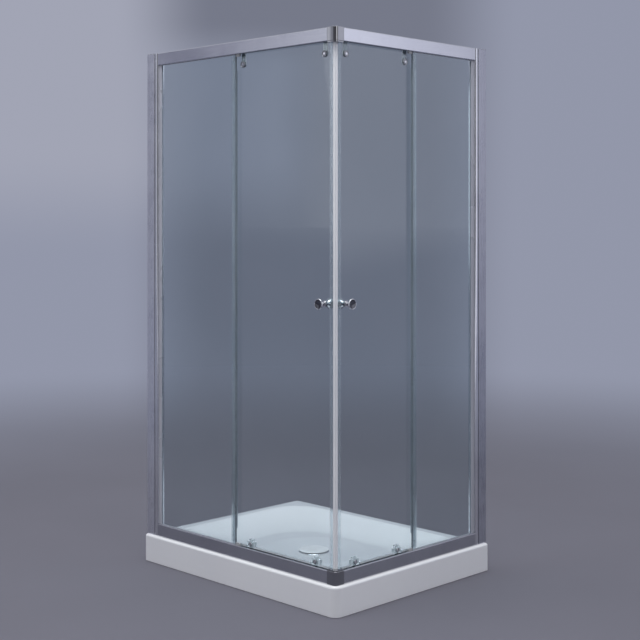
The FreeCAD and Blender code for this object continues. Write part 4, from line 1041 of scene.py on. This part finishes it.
def make_rollers():
    wheels = {"top": wheel_model(HANGER_AXLE), "bottom": wheel_model(LOW_AXLE)}
    slide = slide_model()
    hanger, axle = hanger_model(), spun("rivet_axle", AXLE, at(0, 0, HANGER_AXLE), INWARDS, 32)
    top_bolt, low_bolt = top_bolt_model(), spun("low_cap_bolt", LOW_CAP_BOLT, at(0, 0, LOW_BOLT), INWARDS, 40)
    housing = housing_model()

    def mount(side, places, model, name, material, node, ease, body):
        finish(copies_along(model, name, side, places), [material], [node], ease, body=body)

    for side in SIDES:
        door = side + "_door"
        top, low = ROLLERS["top"][side], ROLLERS["bottom"][side]
        for end, places in (("top", top), ("bottom", low)):
            for which, s in zip(("front", "rear"), places):
                node = door + "_" + end + "_wheel_" + which
                mount(side, [s], wheels[end], node + "_turned", nylon, node, 0, node)
        for which, s in zip(("front", "rear"), low):
            node = door + "_release_" + which
            mount(side, [s], slide, node + "_slide", frosted_plastic, node, 0.25, node)
        mount(side, top, hanger, door + "_hanger_plates", satin_steel, door + "_top_arms", 0.4, door)
        mount(side, top, axle, door + "_rivet_axles", zinc, door + "_top_axles", 0, door)
        bolts = joined(door + "_cap_bolts", [
            copies_along(top_bolt, "top_cap_bolts", side, top), copies_along(low_bolt, "low_cap_bolts", side, low)])
        finish(bolts, [satin_cap, chrome], [door + "_roller_bolts"], 0, body=door)
        axes = [(s, HANGER_BOLT) for s in top] + [(s, LOW_BOLT) for s in low]
        second_finish_where(bolts, side, lambda s, v, z: (
            v < 31.2 and any(math.hypot(s - axis_s, z - axis_z) < 3.9 for axis_s, axis_z in axes)))
        mount(
            side, low, housing, door + "_housings", frosted_plastic, door + "_roller_housings", 0.5,
            door)
    put_away(*wheels.values(), slide, hanger, axle, top_bolt, low_bolt, housing)


# ---- stops, slot blocks and screws

CROSS = (
    (0.45, 0.45), (2, 0.45), (2, -0.45), (0.45, -0.45), (0.45, -2), (-0.45, -2), (-0.45, -0.45), (-2, -0.45),
    (-2, 0.45), (-0.45, 0.45), (-0.45, 2), (0.45, 2))


def thread(root, crest, start, end, pitch):
    """Half outline of ringed thread from start to end."""
    rise = math.copysign(pitch, end - start)
    points = []
    for step in range(int(abs(end - start) / pitch)):
        low = start + rise * step
        points += [(root, low), (crest, low + rise / 2)]
    return points


def make_stops():
    """Rubber bumpers with a hollowed face, one at each end of a door's run in the top rail."""
    parts = []
    for side in SIDES:
        for s in (61.5, POST_FACE[side] - 62.5):
            bumper = blank("bumper", s, s + 10, 43, 49.4, 1867.5, 1887)
            start_work(bumper, "FACE")
            choose("FACE", lambda face: abs(face.normal.x) > 0.9)
            bpy.ops.mesh.inset(thickness=1.5 * MM)
            bpy.ops.transform.resize(value=(0.86, 1, 1), center_override=at(s + 5, 46.2, 1877.25))
            stop_work()
            parts.append(stood(bumper, side))
    finish(joined("rail_bumpers", parts), [rubber], ["door_stops"], 0.8, 3)


def make_slot_blocks():
    """Blocks that close the glazing slots beside the fixed panes."""
    parts = []
    for side in SIDES:
        end = FIXED_EDGE[side] - 3.2
        for low, high, rounded in ((124, 152, 152), (1847, 1875, 1847)):
            outline = ((end - 19, low), (end, low), (end, high), (end - 19, high))
            parts.append(stood(plate("slot_block", outline, 19.2, 26.8, [(end - 19, rounded, 4)]), side))
    finish(joined("glazing_slot_blocks", parts), [grey_plastic], ["slot_end_blocks"])


def make_screws():
    """Countersunk screws in the rails' backs and pan head screws through the wall channels."""
    outline = [(0, 0), (3.65, 0), (3.8, 0.12), (2.1, 1.6)] + thread(1.7, 2.1, 1.8, 11.8, 1) + [(1.2, 12.2), (0, 13)]
    flush = {"bottom": spun("flush_screw", outline, at(0, 0, 0), UP, 28)}
    fitted(flush["bottom"], plan_bar("cross", CROSS, -1, 1.2))
    flush["top"] = duplicate(flush["bottom"], "flush_screw_over")
    flush["top"].matrix_world = Matrix.Rotation(math.pi, 4, "X")
    frozen(flush["top"])
    outline = (
        [(0, 49.4), (2.4, 49.4), (3.3, 49), (3.8, 48.3), (4, 47.5), (4, 47)] + thread(1.7, 2.1, 46.8, 39.8, 1)
        + [(1.2, 39), (0, 38)])
    pan = spun("pan_screw", outline, at(0, 0, 0), INWARDS, 28)
    fitted(pan, plate("cross", CROSS, 48.2, 51))
    parts = []
    for side in SIDES:
        places = [(flush[end], place) for end in ENDS for place in rail_screw_places(side, end)]
        places += [(pan, at(RUN[side] - 25, 0, z)) for z in POST_SCREWS]
        parts += [stood(duplicate(model, "screw", place), side) for model, place in places]
    put_away(*flush.values(), pan)
    finish(joined("frame_screw_set", parts), [zinc], ["frame_screws"], 0)


# ---- waste and studs under the tray

LOCK_NUT = ((5.2, 27), (8.5, 27), (9.8, 27.9), (9.8, 34.1), (8.5, 35), (5.2, 35), (5.2, 27))
WASTE_RING = (
    (34, 36), (44.5, 36), (44.5, 52), (55.6, 52), (56, 52.3), (53.9, 54.3), (53.3, 54.5), (39.9, 54.5),
    (39.2, 54.3), (38.2, 53.3), (38, 52.8), (38, 38), (34, 38), (34, 36))
WASTE_LID = (
    (0, 57.5), (35.7, 57.5), (35.7, 38), (37.7, 38), (37.7, 57.5), (54.6, 57.5), (55, 57.9), (55, 59.2),
    (54.4, 59.7), (43, 62.25), (41, 62.5), (0, 62.5))


def make_studs():
    """A threaded stud and a six-sided lock nut over each foot."""
    outline = [(0, 5), (4.4, 5)] + thread(4.4, 5, 5.5, 43, 1.5) + [(4.4, 43.4), (4, 44), (0, 44)]
    stud = spun("foot_stud", outline, at(0, 0, 0), UP, 28)
    nut = spun("lock_nut", LOCK_NUT, at(0, 0, 0), UP, 6)
    places = [at(x, y, 0) for x in (-205, 205) for y in (-135, 135)]
    parts = [duplicate(model, name, place) for place in places for model, name in ((stud, "stud"), (nut, "nut"))]
    put_away(stud, nut)
    finish(joined("foot_stud_set", parts), [zinc], ["tray_foot_studs"], 0, angle=25)


def make_waste():
    """The chrome ring in the basin floor and the white lid that covers it."""
    flange = spun("waste_ring", WASTE_RING, at(0, 0, 0), UP, 72)
    finish(flange, [chrome], ["drain_flange"], 0)
    lid = spun("waste_lid", WASTE_LID, at(0, 0, 0), UP, 72)
    windows = []
    for step in range(6):
        turn = math.tau * step / 6
        away, across = Vector((math.cos(turn), math.sin(turn))), Vector((-math.sin(turn), math.cos(turn)))
        corners = [away * reach + across * half for reach, half in ((30, -7), (40, -7), (40, 7), (30, 7))]
        windows.append(plan_bar("window", [tuple(corner) for corner in corners], 54.5, 57.4))
    fitted(lid, joined("windows", windows))
    finish(lid, [waste_plastic], ["drain_cover"], 0)


# ---- build

make_tray()
for side in SIDES:
    for end in ENDS:
        make_rail(side, end)
    make_channel(side)
    make_post(side)
    make_panes(side)
    make_gasket(side)
    make_edge_seals(side)
    make_magnet_seal(side)
    make_drip_seal(side)
caps = [make_channel_cap(side) for side in SIDES]
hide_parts("channel_caps")
for end in ENDS:
    make_connector(end)
make_knobs()
make_rollers()
make_stops()
make_slot_blocks()
make_screws()
make_studs()
make_waste()

# What is hidden under the tray and in the rails' ends keeps its CAD shape
coated(nodes["tray_base_board"], chipboard("raw chipboard"))
coated(nodes["tray_feet"], black_plastic)
coated(nodes["rail_joint_blocks"], black_plastic)
coated(nodes["drain_trap"], waste_plastic)

# ---- studio

EYE = (3.286, -3.266, 1.269)
TO_CAMERA, TO_RIGHT, TO_CEILING = (0.7071, -0.7071, 0), (0.7071, 0.7071, 0), (0, 0, 1)
# SHADE is painted shade of the enclosure on the wall behind it; the LIT tones are a painted pool of light on that
# wall.
BACKDROP, LIT_BACKDROP = (0.29, 0.31, 0.4), (0.36, 0.375, 0.46)
SHADE, LIT_SHADE = (0.18, 0.193, 0.25), (0.265, 0.285, 0.365)
# The left wall's tones, laid over each other as the direction turns to the camera from start to end
LEFT_WALL = (0.6, 0.615, 0.7)
LEFT_BANDS = (
    (0.03, -0.09, (0.23, 0.24, 0.31)), (-0.06, -0.16, (0.2, 0.205, 0.27)), (-0.02, 0.02, (1.02, 1.04, 1.14)),
    (0.03, 0.07, (0.5, 0.515, 0.59)))
RIGHT_WALL, RIGHT_WALL_END = (0.93, 0.95, 1.08), (0.27, 0.275, 0.35)
CAMERA_END, CEILING = (0.15, 0.15, 0.17), (0.64, 0.65, 0.69)
FLOOR_RADIUS, FLOOR_DROP = 300, -0.0005
FLOOR_FADE = (1.4, 6.5)
# Name, place, target, size, power and whether metal and glass mirror it
LAMPS = (
    ("overhead", (0.4, -0.6, 4.2), (0, 0, 0.6), (3.2, 3.2), 125, True),
    ("right front", (4.5, -1.2, 2.6), (0.4, 0, 0.9), (1.6, 2.6), 18, True),
    ("left front", (-1.8, -4.2, 2.4), (0, -0.3, 0.9), (2.4, 3.0), 30, False))
# The camera fitted to the photograph: a picture 640 wide, with its horizon 222.3 below the top
PICTURE, FOCAL, HORIZON, SENSOR = 640, 1251, 222.3, 36


def surround_tone_effect():
    """The room by direction: a grey wall with a painted pool of light and, right behind the enclosure, painted
    shade of the enclosure on it, a bright soft wall at each side that dims towards the back, a dark end behind the
    camera, and an even ceiling."""
    tree, given, result = group_of("surround tone", [("Direction", "Vector", None)], [("Tone", "Color")])
    level = vector_step(tree, "NORMALIZE", given["Direction"])

    def towards(direction):
        return vector_step(tree, "DOT_PRODUCT", level, direction, result="Value")

    def soft(value, start, end):
        return ramp(tree, value, start, end, shape="SMOOTHSTEP")

    def over(value, start, end, below, above):
        return blend(tree, soft(value, start, end), below, above)

    front, right, upwards = towards(TO_CAMERA), towards(TO_RIGHT), towards(TO_CEILING)
    left_wall = LEFT_WALL
    for start, end, band in LEFT_BANDS:
        left_wall = over(front, start, end, left_wall, band)
    right_wall = over(front, 0.0, -0.22, RIGHT_WALL, RIGHT_WALL_END)
    # A painted pool of light on the back wall, and painted shade of the enclosure right behind it.
    pool = worked_out(tree, "MULTIPLY", soft(upwards, -0.03, 0.06), soft(right, 0.02, -0.04))
    shade = over(upwards, 0.12, 0.16, blend(tree, pool, SHADE, LIT_SHADE), SHADE)
    backdrop = blend(tree, pool, BACKDROP, LIT_BACKDROP)
    back_wall = over(worked_out(tree, "ABSOLUTE", right), 0.08, 0.16, shade, backdrop)
    tone = over(right, -0.3, 0.3, left_wall, right_wall)
    tone = over(front, 0.15, 0.65, tone, CAMERA_END)
    tone = over(front, -0.3, -0.6, tone, back_wall)
    feed(tree, result["Tone"], over(upwards, 0.2, 0.75, tone, CEILING))
    return tree


surround_tone = surround_tone_effect()


def make_floor():
    """A grey floor that fades into the surround seen behind it."""
    put_down()
    bpy.ops.mesh.primitive_circle_add(
        vertices=96, radius=FLOOR_RADIUS, fill_type="NGON", location=(0, 0, FLOOR_DROP))
    floor = frozen(named("studio_floor"))
    bench = Bench("pale studio floor")
    mould = bench.effect(mould_grain, Grain=60.0, Clouds=0.8)
    bench.set(
        Base_Color=bench.varied(mould["Clouds"], (0.115, 0.113, 0.14), (0.13, 0.128, 0.158)), Roughness=0.55)
    away = vector_step(bench.tree, "LENGTH", bench.place, result="Value")
    sight = vector_step(bench.tree, "SUBTRACT", bench.place, EYE)
    glow = add_node(bench.tree, "Emission", {"Color": bench.effect(surround_tone, Direction=sight)["Tone"]})
    bench.show(ramp(bench.tree, away, *FLOOR_FADE, shape="SMOOTHSTEP"), glow.outputs["Emission"])
    coated(floor, bench.material)


def make_sky():
    """The same surround, seen directly and in the metal and glass."""
    world = bpy.data.worlds.new("studio surround")
    bpy.context.scene.world = world
    world.use_nodes = True
    tree = world.node_tree
    tone = add_node(tree, "Group", node_tree=surround_tone)
    feed(tree, tone.inputs["Direction"], add_node(tree, "TexCoord").outputs["Generated"])
    feed(tree, tree.nodes["Background"].inputs["Color"], tone.outputs["Tone"])


def make_lamp(name, place, target, size, power, mirrored):
    bpy.ops.object.light_add(type="AREA", location=place)
    lamp = named(name)
    lamp.data.shape = "RECTANGLE"
    lamp.data.size, lamp.data.size_y = size
    lamp.data.energy = power
    lamp.visible_glossy = mirrored
    lamp.rotation_euler = (Vector(target) - Vector(place)).to_track_quat("-Z", "Y").to_euler()


def make_camera():
    data = bpy.data.cameras.new("view from the corner")
    camera = bpy.data.objects.new("view from the corner", data)
    bpy.context.scene.collection.objects.link(camera)
    camera.location = EYE
    camera.rotation_euler = (math.radians(90), 0, math.atan2(0.7059, 0.7082))
    data.sensor_width = SENSOR
    data.lens = FOCAL / PICTURE * SENSOR
    data.shift_y = (HORIZON - PICTURE / 2) / PICTURE
    data.clip_end = 500
    bpy.context.scene.camera = camera


make_floor()
make_sky()
for lamp in LAMPS:
    make_lamp(*lamp)
make_camera()
bpy.context.scene.view_settings.view_transform = "Standard"
